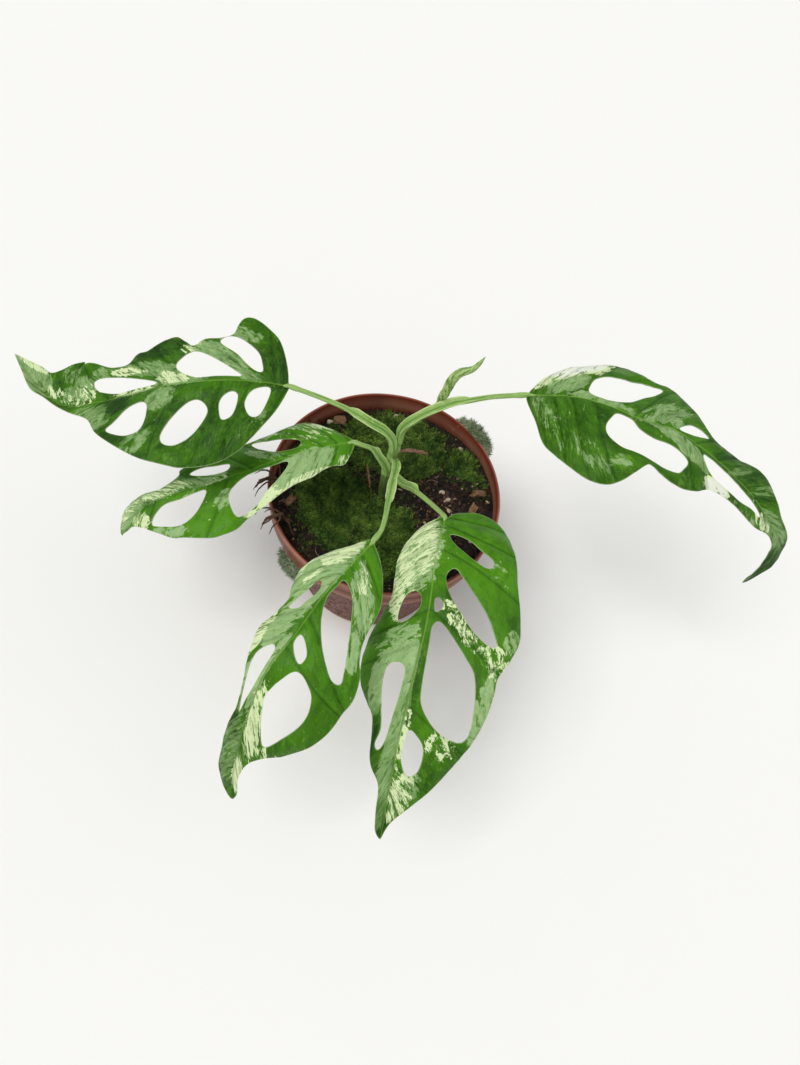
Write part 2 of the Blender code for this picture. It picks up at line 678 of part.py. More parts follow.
def make_tuft(name, azimuth, low, high, width, depth):
    """A round tuft on the outside wall: its back follows the wall and its face bulges."""
    columns = 9
    rows = 7
    built = bmesh.new()
    back = []
    face = []
    for i in range(columns):
        u = 2 * i / (columns - 1) - 1
        for j in range(rows):
            v = 2 * j / (rows - 1) - 1
            across = u * math.sqrt(1 - v**2 / 2)
            along = v * math.sqrt(1 - u**2 / 2)
            height = (low + high) / 2 + along * (high - low) / 2
            turn = math.radians(azimuth) + across * width / 2 / wall_radius(high)
            near = wall_radius(height) + GAP
            far = near + TUFT_EDGE + (depth - TUFT_EDGE) * math.sqrt((1 - u**2) * (1 - v**2))
            for radius, sheet in ((near, back), (far, face)):
                point = (radius * math.cos(turn), radius * math.sin(turn), height)
                sheet.append(built.verts.new(point))
    for i in range(columns - 1):
        for j in range(rows - 1):
            a = i * rows + j
            quad = (a, a + rows, a + rows + 1, a + 1)
            built.faces.new([face[k] for k in quad])
            built.faces.new([back[k] for k in reversed(quad)])
    rim = list(range(rows))
    rim += [i * rows + rows - 1 for i in range(1, columns)]
    rim += [(columns - 1) * rows + j for j in range(rows - 2, -1, -1)]
    rim += [i * rows for i in range(columns - 2, 0, -1)]
    for a, b in zip(rim, rim[1:] + rim[:1]):
        built.faces.new((face[a], face[b], back[b], back[a]))
    solid_from(name, built, "dry_moss")


def make_bark_chip(name, x, y, length, width, height, turn):
    """A flat splinter of bark with chamfered upper edges."""
    built = bmesh.new()
    bmesh.ops.create_cube(built, size=1.0)
    for vert in built.verts:
        narrowing = 0.7 if vert.co.z > 0 else 1.0
        vert.co.x *= length * narrowing
        vert.co.y *= width * narrowing
        vert.co.z *= height
    spin = Matrix.Rotation(math.radians(turn), 3, "Z")
    bmesh.ops.rotate(built, cent=(0, 0, 0), matrix=spin, verts=built.verts)
    rest = SOIL_TOP + GAP + height / 2
    bmesh.ops.translate(built, vec=(x, y, rest), verts=built.verts)
    solid_from(name, built, "bark_brown")


def make_perlite(name, x, y, size):
    built = bmesh.new()
    bmesh.ops.create_icosphere(built, subdivisions=1, radius=size / 2)
    bmesh.ops.translate(built, vec=(x, y, SOIL_TOP + GAP + size / 2), verts=built.verts)
    solid_from(name, built, "perlite_white")


def make_stalk(name, stalk):
    sheath = stalk["sheath"]
    radii = [
        (0.0, SHEATH_RADIUS - 0.2),
        (sheath * 0.4, SHEATH_RADIUS),
        (sheath, STALK_RADIUS + 0.2),
        (sheath + 0.05, STALK_RADIUS),
        (1.0, STALK_RADIUS * 0.85),
    ]
    make_tube("petiole_" + name, stalk["path"], radii, "stalk_green")


def main():
    clear_scene()
    make_pot()
    make_soil()
    for name, outline in MOSS_MATS.items():
        make_moss_mat(name, outline)
    for name, tuft in TUFTS.items():
        make_tuft(name, *tuft)
    make_tube("main_stem", STEM_PATH, [(0, STEM_RADIUS), (1, STEM_RADIUS * 0.9)], "stem_green")
    for name, stalk in STALKS.items():
        make_stalk(name, stalk)
    for name, blade in BLADES.items():
        make_blade(name, blade)
    spear = [(0, 1.2), (0.3, 1.8), (0.7, 1.6), (1, 0.3)]
    make_tube("new_leaf", NEW_LEAF_PATH, spear, "new_leaf_green")
    make_tube("aerial_root", AERIAL_ROOT_PATH, [(0, 1.0), (0.8, 1.1), (1, 0.6)], "root_brown")
    for name, path in DEAD_ROOTS.items():
        make_tube(name, path, [(0, 0.6), (1, 0.35)], "root_brown", sides_level=1)
    for i, chip in enumerate(BARK_CHIPS):
        make_bark_chip(f"bark_chip_{i + 1}", *chip)
    for i, grain in enumerate(PERLITE):
        make_perlite(f"perlite_{i + 1}", *grain)


main()
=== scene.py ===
"""Visual model of a young variegated monstera adansonii in its round plastic nursery pot.

The scene is in metres with +Z up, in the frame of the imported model: the origin is the centre of
the pot's base, the front faces -Y, and +X is to the right. The tables below are in millimetres
and degrees, and each mesh is scaled to metres once. Settings that a user would change are in
metres, in the 3D view's sidebar.
"""

import math

import bmesh
import bpy
import numpy as np
from bpy.props import FloatProperty, FloatVectorProperty, IntProperty, PointerProperty
from bpy.types import Operator, Panel, PropertyGroup
from mathutils import Matrix, Vector
from mathutils.geometry import delaunay_2d_cdt


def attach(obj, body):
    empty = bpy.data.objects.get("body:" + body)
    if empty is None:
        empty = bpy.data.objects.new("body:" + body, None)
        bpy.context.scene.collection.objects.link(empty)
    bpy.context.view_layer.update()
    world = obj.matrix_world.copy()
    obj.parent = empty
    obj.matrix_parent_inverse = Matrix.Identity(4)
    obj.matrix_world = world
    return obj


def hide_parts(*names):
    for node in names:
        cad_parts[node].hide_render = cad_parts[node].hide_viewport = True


bl_info = {
    "name": "Potted monstera adansonii",
    "version": (1, 0, 0),
    "blender": (4, 5, 0),
    "location": "View3D > Sidebar > Monstera",
    "description": "Builds the blades, stalks, pot, soil and moss of a potted monstera adansonii",
    "category": "Object",
}

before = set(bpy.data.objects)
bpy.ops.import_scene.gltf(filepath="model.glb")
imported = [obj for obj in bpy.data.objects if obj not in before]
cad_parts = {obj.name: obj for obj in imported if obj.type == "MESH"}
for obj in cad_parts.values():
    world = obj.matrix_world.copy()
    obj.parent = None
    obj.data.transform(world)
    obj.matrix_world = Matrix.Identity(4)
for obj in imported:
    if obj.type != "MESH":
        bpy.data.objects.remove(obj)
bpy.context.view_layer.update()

MM = 0.001

# Pot and soil
POT_HEIGHT = 88.0
RIM_RADIUS = 60.0
BASE_RADIUS = 42.0
FLOOR = 1.6
COLLAR_HEIGHT = 14.5
COLLAR_STEP = 1.8
COLLAR_FLARE = 0.6
LIP_HEIGHT = 1.6
LIP_WIDTH = 0.7
FOOT_LIFT = 2.4
CHANNEL_INNER = 25.0
CHANNEL_OUTER = 38.0
CHANNEL_DRAFT = 1.2
COLLAR_FOOT = POT_HEIGHT - COLLAR_HEIGHT
COLLAR_RADIUS = RIM_RADIUS - LIP_WIDTH
DRAIN_HOLES = 8
DRAIN_RADIUS = 3.2
SOIL_TOP = 76.0
SOIL_RADIUS = 57.9
SOIL_SEGMENTS = 288
SOIL_RINGS = 78
LOOSE_RADIUS = SOIL_RADIUS - 1.5
LITTER_PLACE = (34, 0)

# Moss
SHOOT_LEAFLETS = 9
SPRIGS = 2600
TUFT_SHOOTS = 760
TUFT_SHOOT = 4.2

# Blades: how far a bend in a midrib is spread along the sheet, how far from its margin a blade
# flattens out, and the depth of the midrib's groove above and of its keel below.
BEND_EASE = 9.0
MARGIN_FADE = 3.5
RIB_GROOVE = 0.45
RIB_KEEL = 0.9

# Stalks: the wings' turn from the middle of the groove, and the width of both, in degrees; the
# groove's depth as a share of the radius; the spacing of the points along a stalk; and what the
# end under the blade counts as, where the start of the blade counts as 1.
WING_TURN = 49
WING_WIDTH = 8
GROOVE_WIDTH = 26
GROOVE_DEPTH = 0.42
STALK_STEP = 0.7
END_SHARE = 1.25

# The photo's view: the eye's place in metres, its downward tilt and its roll in degrees.
CAMERA_PLACE = (0.013, -0.212, 0.440)
CAMERA_TILT = 61.8
CAMERA_ROLL = 15.3
FLOOR_REACH = 60.0

# A turn drawn at random runs up to this many radians.
SPIN = 6.28


def pairs(*numbers):
    return list(zip(numbers[::2], numbers[1::2]))


STEM_PATH = [
    (-2, 4, SOIL_TOP - 8), (-2, 4, 85), (-2, 3, 100), (-1, 2, 112), (0, 1, 121), (1, 1, 130),
]

# Each stalk: the share of it that the winged sheath takes, the side its groove opens to at the
# blade, and its path from inside the stem to its blade.
STALKS = {
    "back_left": {
        "sheath": 0.57,
        "top": (0.1, -0.2, 1),
        "path": [(-0.3, -0.6, 124), (-0.8, -3.2, 126.5), (-0.9, -3.2, 130), (-2.8, -2.4, 135),
            (-7, -2.8, 140), (-14, -3.4, 144.5), (-23.5, -2.5, 148), (-33, -2, 150), (-51, 0, 150)],
    },
    "left": {
        "sheath": 0.7,
        "top": (-0.1, -0.3, 1),
        "path": [(-1.8, 1.2, 102), (-2.2, -2, 104), (-2, -2.2, 107), (-3.4, -1.9, 110.5),
            (-6.5, -1.2, 115), (-10.4, -0.3, 119.5), (-14, -0.8, 121), (-19, -1, 122)],
    },
    "front_left": {
        "sheath": 0.62,
        "top": (0, 0, 1),
        "path": [(-0.2, 0.6, 115), (1.5, -2.2, 117), (2.2, -4.8, 119.5), (3, -9, 121.3),
            (3.5, -20.5, 125.5), (4.2, -31, 129), (5, -41, 132), (5, -49, 134), (3, -55.4, 135)],
    },
    "front_right": {
        "sheath": 0.45,
        "top": (0, -0.1, 1),
        "path": [(-1.2, 2.2, 97.5), (1.1, 1.6, 98.5), (5, -2, 101), (9, -6, 104), (14, -9, 107.5),
            (22, -17, 114), (27, -23, 119), (30.5, -29, 124.6)],
    },
    "right": {
        "sheath": 0.68,
        "top": (0.1, -0.2, 1),
        "path": [(0.4, 0.8, 123), (1.5, 1.2, 130.8), (1.6, 2, 136), (3, 2.4, 141), (6, 2.7, 146),
            (10.8, 4.1, 152), (19, 5.6, 160), (25, 7, 163.5), (37, 11.3, 166.5), (50, 15.5, 168)],
    },
}

# Each blade is a flat pattern laid on a curved sheet. "midrib" runs in space from the stalk to
# the tip. A row of "section" is the share of the midrib's length, the bank of the blade, the
# rise of its left-hand and right-hand halves, and how far those halves curl over 10 mm.
# A row of "waves" is the half (1 left, -1 right), the height, how many waves, and their phase.
# "outline" and "holes" are millimetres along the midrib, then to its left as one looks from
# the stalk to the tip.
BLADES = {
    "back_left": {
        "midrib": [(-52, 0, 150), (-73, -6, 153), (-97, -13, 149), (-114, -17, 141),
            (-138, -22, 128), (-153, -24, 123), (-164, -20, 126), (-180, -9, 131)],
        "section": [(0, 0, -4, 4, -3, 2), (0.4, 0, -5, 8, -4, 7), (0.7, 0, -5, 8, -3, 3),
            (1, 0, -5, 10, 0, 0)],
        "waves": [(1, 1.5, 3.1, 0.1), (-1, 2.5, 4.2, 0.3)],
        "outline": pairs(0, -2, 1, -10, 4, -20, 8, -26, 14, -32, 18, -33, 21, -31, 23, -27, 25, -22,
            30, -20, 37, -20, 42, -18, 46, -21, 50, -24, 55, -23, 60, -21, 65, -19, 71, -19,
            77, -16, 86, -17, 96, -20, 106, -21, 111, -22, 117, -24, 122, -19, 124, -12, 126, -8,
            132, -6, 143, 0, 143, 0, 134, 2, 125, 4, 118, 2, 112, 2, 105, 4, 95, 9, 88, 18, 71, 30,
            59, 37, 50, 41, 43, 41, 26, 36, 17, 30, 6, 15, 0, 2),
        "holes": [
            pairs(30, -18, 26, -21, 20, -20, 14, -15, 12, -9, 12, -5, 16, -6, 23, -13),
            pairs(50, -9, 47, -13, 41, -15, 33, -11, 24, -5, 21, -2, 30, -2, 40, -2, 47, -5),
            pairs(95, -10, 91, -12, 83, -11, 73, -8, 62, -4, 60, -2, 70, -2, 80, -2, 91, -5),
            pairs(84, 16, 79, 12, 72, 7, 66, 6, 63, 10, 65, 19, 72, 21, 80, 19),
            pairs(54, 25, 48, 15, 43, 10, 38, 10, 35, 16, 41, 26, 48, 31, 53, 30),
            pairs(30, 12, 28, 8, 24.5, 6, 22, 8, 22.8, 14, 25, 18, 29, 19),
            pairs(18.8, 12, 16.5, 6, 12, 3, 8, 3, 9, 9, 12.5, 17, 16.5, 17.5),
        ],
    },
    "left": {
        "midrib": [(-20, -1, 122), (-40, -16, 126), (-60, -30, 122), (-78, -41, 117),
            (-94, -50, 113), (-103, -56, 109), (-109, -62, 102), (-112, -67, 94)],
        "section": [(0, 0, 5, -8, -5, -8), (0.4, 0, 0, -15, -6, -8), (1, 0, 0, -10, -6, -8)],
        "waves": [(1, 1.2, 3.3, 0.2), (-1, 1.2, 2.6, 0.6)],
        "outline": pairs(0, -2, 3, -5, 8, -13, 14, -18, 21, -20, 33, -19, 45, -20, 62, -20, 74, -17,
            83, -14, 84, -10, 88, -7, 95, -5, 103, -7, 110, -9, 117, -9, 122, -4, 123, 0, 123, 0,
            117, 3, 112, 5, 103, 14, 95, 20, 88, 22, 76, 26, 70, 26, 64, 25, 58, 22, 46, 18, 36, 15,
            26, 14, 20, 12, 15, 11, 10, 12, 6, 9, 0, 2),
        "holes": [
            pairs(47, -18, 39, -15, 32, -12, 25, -8, 25, -5, 29, -3, 37, -5, 45, -12),
            pairs(79, -9, 75, -11, 67, -10, 60, -8, 62, -4, 72, -5),
            pairs(34, 4, 35, 2, 43, 2, 52, 2, 58, 4, 63, 8, 64, 14, 62, 20, 54, 18, 47, 13, 40, 9),
            pairs(73, 3, 85, 4, 92, 4, 97, 6, 101, 9, 101, 12, 90, 16, 83, 15, 77, 10),
        ],
    },
    "front_left": {
        "midrib": [(3, -56, 135), (-8, -85, 144), (-16, -108, 143), (-23, -124, 136),
            (-26, -139, 121), (-27, -154, 102), (-25, -165, 86)],
        "section": [(0, 0, 5, -15, -5, -10), (0.4, 0, 3, -22, -6, -12), (1, 0, 0, -15, -5, -10)],
        "waves": [(1, 1.5, 2.7, 0.4), (-1, 1.2, 3.4, 0.1)],
        "outline": pairs(0, -2, 7, -6, 13, -12, 20, -17, 27, -19, 33, -18, 40, -16, 46, -13,
            52, -14, 62, -17, 71, -14, 77, -11, 86, -8, 95, -7, 103, -8, 113, -9, 122, -9, 131, -9,
            137, -6, 141, 0, 141, 0, 137, 2, 130, 2, 125, 3, 118, 6, 113, 12, 109, 18, 104, 23,
            96, 29, 86, 33, 75, 34, 65, 34, 56, 31, 51, 27, 44, 24, 27, 21, 12, 12, 3, 3),
        "holes": [
            pairs(49, -10, 46, -10, 39, -8, 33, -7, 32, -5, 36, -3, 42, -4, 47, -6),
            pairs(27, 3, 32, 2, 38, 2, 46, 5, 54, 11, 60, 18, 63, 23, 62, 26, 57, 24, 40, 15,
                32, 10),
            pairs(56, 2, 60, 2, 64, 6, 65, 9, 61, 9, 57, 5),
            pairs(69, 9, 68, 12, 70, 16, 74, 20, 82, 22, 90, 21, 98, 17, 107, 11, 104, 8, 87, 4,
                80, 5, 74, 7),
            pairs(66, -6, 66, -3, 72, -2, 79, -2, 88, -3, 98, -5, 91, -6, 80, -8, 72, -9),
        ],
    },
    "front_right": {
        "midrib": [(31, -30, 125), (31, -58, 134), (33, -83, 135), (34, -110, 127), (35, -130, 114),
            (37, -151, 97), (39, -165, 84)],
        "section": [(0, 0, 6, -15, -6, -10), (0.4, 0, 4, -25, -5, -9), (1, 0, -5, -15, -6, -8)],
        "waves": [(1, 1.6, 2.4, 0.0), (-1, 1.3, 3.2, 0.5)],
        "outline": pairs(0, 1, -4, 4, -8, 12, -9, 20, -6, 26, 1, 31, 15, 35, 25, 37, 35, 39, 48, 41,
            57, 41, 65, 38, 73, 34, 80, 34, 93, 33, 106, 30, 117, 24, 128, 17, 143, 4, 153, 0,
            153, 0, 149, -3, 140, -4, 129, -5, 121, -10, 112, -12, 102, -14, 97, -18, 90, -24,
            82, -27, 72, -27, 64, -26, 56, -22, 45, -18, 35, -18, 25, -18, 16, -16, 7, -10, 0, -2),
        "holes": [
            pairs(11, 4, 10, 8, 12, 14, 17, 20, 21, 25, 25, 24, 25, 20, 20, 12, 15, 6),
            pairs(38, 6, 33, 6, 30, 9, 34, 13, 47, 24, 55, 29, 60, 31, 61, 28, 58, 22, 52, 15,
                45, 9),
            pairs(57, -13, 51, -13, 45, -11, 43, -7, 46, -4, 51, -4, 56, -8, 58, -11),
            pairs(47, 2, 46, 4, 49, 6, 52, 3),
            pairs(56, 6, 58, 3, 64, 3, 83, 4, 91, 6, 99, 13, 103, 20, 104, 26, 99, 28, 86, 27,
                74, 24, 68, 19, 62, 13),
            pairs(76, -10, 76, -6, 80, -4, 97, -5, 109, -6, 114, -8, 112, -10, 105, -9, 96, -11,
                87, -13, 79, -13),
            pairs(102, 3, 104, 7, 108, 10, 114, 11, 120, 10, 122, 7, 119, 4, 112, 2),
        ],
    },
    "right": {
        "midrib": [(51, 16, 168), (73, 13, 179), (95, 9, 181), (116, 12, 175), (138, 11, 165),
            (158, 8, 154), (173, 5, 142), (187, 5, 127), (192, 3, 109), (187, -3, 94)],
        "section": [(0, 0, -5, 0, -5, -5), (0.35, 0, -10, -5, -4, -5), (0.55, 8, -6, -8, -4, -5),
            (0.75, 42, -5, -8, -3, -4), (1, 50, -5, -5, -3, -3)],
        "waves": [(1, 1.2, 2.8, 0.2), (-1, 1.6, 3.0, 0.6)],
        "outline": pairs(0, 2, 1, 5, 4, 12, 10, 19, 20, 25, 28, 30, 35, 34, 41, 36, 50, 33, 57, 29,
            63, 26, 68, 26, 74, 23, 81, 18, 87, 12, 94, 9, 106, 10, 112, 12, 118, 13, 124, 12,
            132, 9, 141, 6, 153, 4.5, 165, 5, 175, 6, 185, 5, 193, 0, 193, 0, 185, -4, 176, -5,
            166, -4.5, 158, -4, 147, -4, 135, -7, 122, -9, 108, -11, 98, -13, 94, -15, 90, -18,
            82, -21, 72, -22, 64, -21, 58, -19, 55, -20, 51, -25, 47, -31, 43, -35, 37, -36,
            28, -33, 20, -29, 13, -24, 7, -14, 0, -3),
        "holes": [
            pairs(26, 4, 25, 9, 26, 15, 30, 19, 38, 22, 48, 24, 58, 23, 64, 22, 59, 17, 50, 12,
                42, 6, 33, 3),
            pairs(46, -2, 40, -2, 38, -5, 37, -10, 39, -14, 44, -16, 50, -16, 58, -17, 66, -18,
                74, -17, 77, -14, 78, -10, 70, -8, 57, -7, 50, -5),
            pairs(70, 2, 76, 8, 82, 10, 87, 8, 84, 6, 77, 3),
            pairs(86, -2, 105, -2, 117, -2, 130, -2, 132, -3, 125, -4, 114, -7, 97, -8, 90, -6),
        ],
    },
}

NEW_LEAF_PATH = [(11.5, 5.2, 153.3), (14.2, 7.7, 156.3), (14.8, 8, 160), (16, 8, 165),
    (17.5, 10, 171), (20, 11.5, 175.5), (25, 13, 179), (28, 14, 186)]
AERIAL_ROOT_PATH = [(0.6, 1.4, 119.6), (2, 2.3, 119.3), (7, 6, 117), (11, 9, 114), (16, 11, 111)]
# A tan twig that lies on the soil behind the front moss.
TWIG_PATH = [(-13.5, 15.5, 79.8), (-12.6, 12.5, 81.4), (-11.2, 9, 81.8), (-9.6, 5, 81),
    (-8.6, 2, 79.6)]

# The two dead roots over the rim. The first path of each is the root, the others its rootlets.
DEAD_ROOTS = {
    "dead_root_back": [
        [(-48, -10, 76.9), (-52.5, -12, 84), (-54.8, -13, 89), (-58.5, -14.5, 89.8),
            (-61.8, -16, 87.5), (-64, -17, 83)],
        [(-55, -13, 89.2), (-57, -11, 90.2), (-60, -10, 89.8), (-63, -8.5, 87)],
        [(-58.5, -14.5, 89.8), (-60.5, -17.5, 90), (-63, -19, 88), (-64, -20.5, 85.5)],
        [(-61.8, -16, 87.5), (-63, -14, 85.5), (-63.4, -13.5, 82)],
        [(-52.5, -12, 84), (-50, -9, 83.5), (-49, -6, 80), (-47, -4, 77)],
        [(-54.5, -13, 88.5), (-55.5, -16, 91), (-58, -18, 91.5), (-60.5, -22, 90),
            (-61.5, -25, 87)],
        [(-56, -13.5, 89.3), (-59, -11, 91.5), (-62.5, -11.5, 91), (-65.5, -13, 88.5)],
        [(-53, -12.5, 86), (-54, -8, 88), (-56, -4, 89.8), (-59, -2, 89.6), (-62, -1.5, 86)],
    ],
    "dead_root_front": [
        [(-42, -28, 76.9), (-45, -30.5, 84), (-46, -31.5, 88.9), (-49, -34, 89.8), (-52, -35.5, 88),
            (-54, -37, 84)],
        [(-49, -34, 89.8), (-50, -36.5, 90), (-52.5, -39, 88.5), (-53.5, -41, 86)],
        [(-46, -31.5, 88.9), (-49, -31, 91), (-52, -31, 90), (-54.5, -32, 87.5)],
        [(-45, -30.5, 84), (-42, -32, 83), (-40, -34, 79.5), (-38, -35, 77)],
        [(-46.5, -32, 89.2), (-45.5, -36, 91), (-47.5, -40, 90.5), (-48.5, -43, 87.5)],
        [(-48, -33, 89.6), (-52, -31.5, 92), (-56.5, -33, 90.5), (-58, -35, 88)],
    ],
}

# Moss mats: outlines in plan on the soil.
MOSS_MATS = {
    "moss_front_left": [(-44, -8), (-38, 6), (-24, 9), (-9, 1), (-8, -12), (-9, -26), (-18, -36),
        (-34, -26)],
    "moss_front": [(-7, -2), (6, -4), (15, -6), (21, -18), (18, -34), (10, -47), (-6, -50),
        (-14, -42), (-7, -26), (-6, -12)],
    "moss_back": [(-30, 26), (-27, 42), (-12, 51), (4, 52), (18, 48), (25, 38), (22, 24), (12, 16),
        (-8, 15), (-22, 17)],
    "moss_back_right": [(28, 28), (31, 40), (39, 37), (47, 27), (44, 23), (36, 24)],
    "moss_left": [(-52, 4), (-50, 18), (-38, 34), (-33, 24), (-34, 14), (-44, 8)],
}

# Loose bits on the soil. Bark: place in plan, length, width, height, turn. Perlite: place, size.
BARK_CHIPS = [(48, 16, 7, 4, 3, 20), (47, 6, 6, 4, 3, 70), (27, 3, 8, 2.5, 2, -35),
    (-35, 40, 6, 4, 3, 10), (-46, -16, 6, 3.5, 2.5, 60)]
PERLITE = [(29, 13, 3.2), (33, 9, 2.6), (39, -6, 3.0), (-40, 37, 3.4), (33, 41.5, 2.8),
    (-6, 53.3, 2.6)]

# Moss tufts on the outside wall: azimuth, lowest and highest point, width, depth.
TUFTS = {
    "moss_tuft_outside_left": (-126, 57, 73, 19, 3.4),
    "moss_tuft_outside_back": (52, 74, 88.5, 24, 5.5),
}

# Side veins of each blade, as rows of where the vein leaves the midrib, and how far along the
# midrib and out from it the vein ends.
VEINS = {
    "back_left": {
        "left": [(1, 12, 26), (16.5, 31, 37), (29, 42, 40), (50, 62, 36), (72, 90, 16),
            (88, 100, 8), (104, 116, 3), (120, 130, 3), (136, 143, 2)],
        "right": [(0, 5, 24), (6, 10, 31), (14, 37, 20), (46, 62, 20), (55, 76, 18), (86, 106, 21),
            (104, 117, 23), (120, 127, 9), (136, 143, 3)],
    },
    "left": {
        "left": [(1, 5, 8), (8, 16, 11.5), (17, 28, 14), (26, 42, 17), (62, 78, 26), (96, 106, 12),
            (110, 118, 3)],
        "right": [(1, 8, 13), (8, 16, 18.5), (15, 33, 19.5), (33, 54, 20), (50, 66, 20),
            (70, 86, 12), (86, 96, 5.5), (100, 110, 9), (112, 121, 5)],
    },
    "front_left": {
        "left": [(2, 12, 12), (10, 26, 20.5), (18, 44, 24), (48, 72, 34), (63, 77, 34),
            (90, 114, 11), (106, 118, 5), (122, 131, 3)],
        "right": [(2, 10, 9), (9, 21, 17.5), (16, 33, 18), (24, 44, 15), (44, 58, 15.5),
            (57, 72, 14), (92, 106, 8.5), (106, 118, 9), (120, 131, 9), (132, 139, 5)],
    },
    "front_right": {
        "left": [(-3, -12, 18), (0, -3, 30), (5, 14, 35), (20, 38, 39.5), (51, 72, 35),
            (92, 110, 28), (118, 129, 16), (130, 140, 6), (143, 151, 2)],
        "right": [(1, 6, 9), (6, 17, 16.5), (14, 28, 18), (22, 38, 18), (33, 51, 20), (52, 68, 27),
            (66, 82, 27), (104, 118, 11), (116, 129, 5), (131, 142, 4)],
    },
    "right": {
        "left": [(2, 6, 14), (8, 18, 24), (18, 34, 34), (46, 70, 24), (60, 80, 19), (80, 92, 9.5),
            (94, 106, 10), (108, 120, 12.5), (122, 134, 8), (138, 150, 4), (156, 166, 3),
            (172, 182, 3)],
        "right": [(0, 4, 12), (5, 15, 25), (12, 27, 32.5), (20, 38, 36), (30, 46, 32), (70, 88, 19),
            (82, 96, 14), (128, 138, 6), (142, 152, 4), (158, 168, 3), (174, 182, 3)],
    },
}

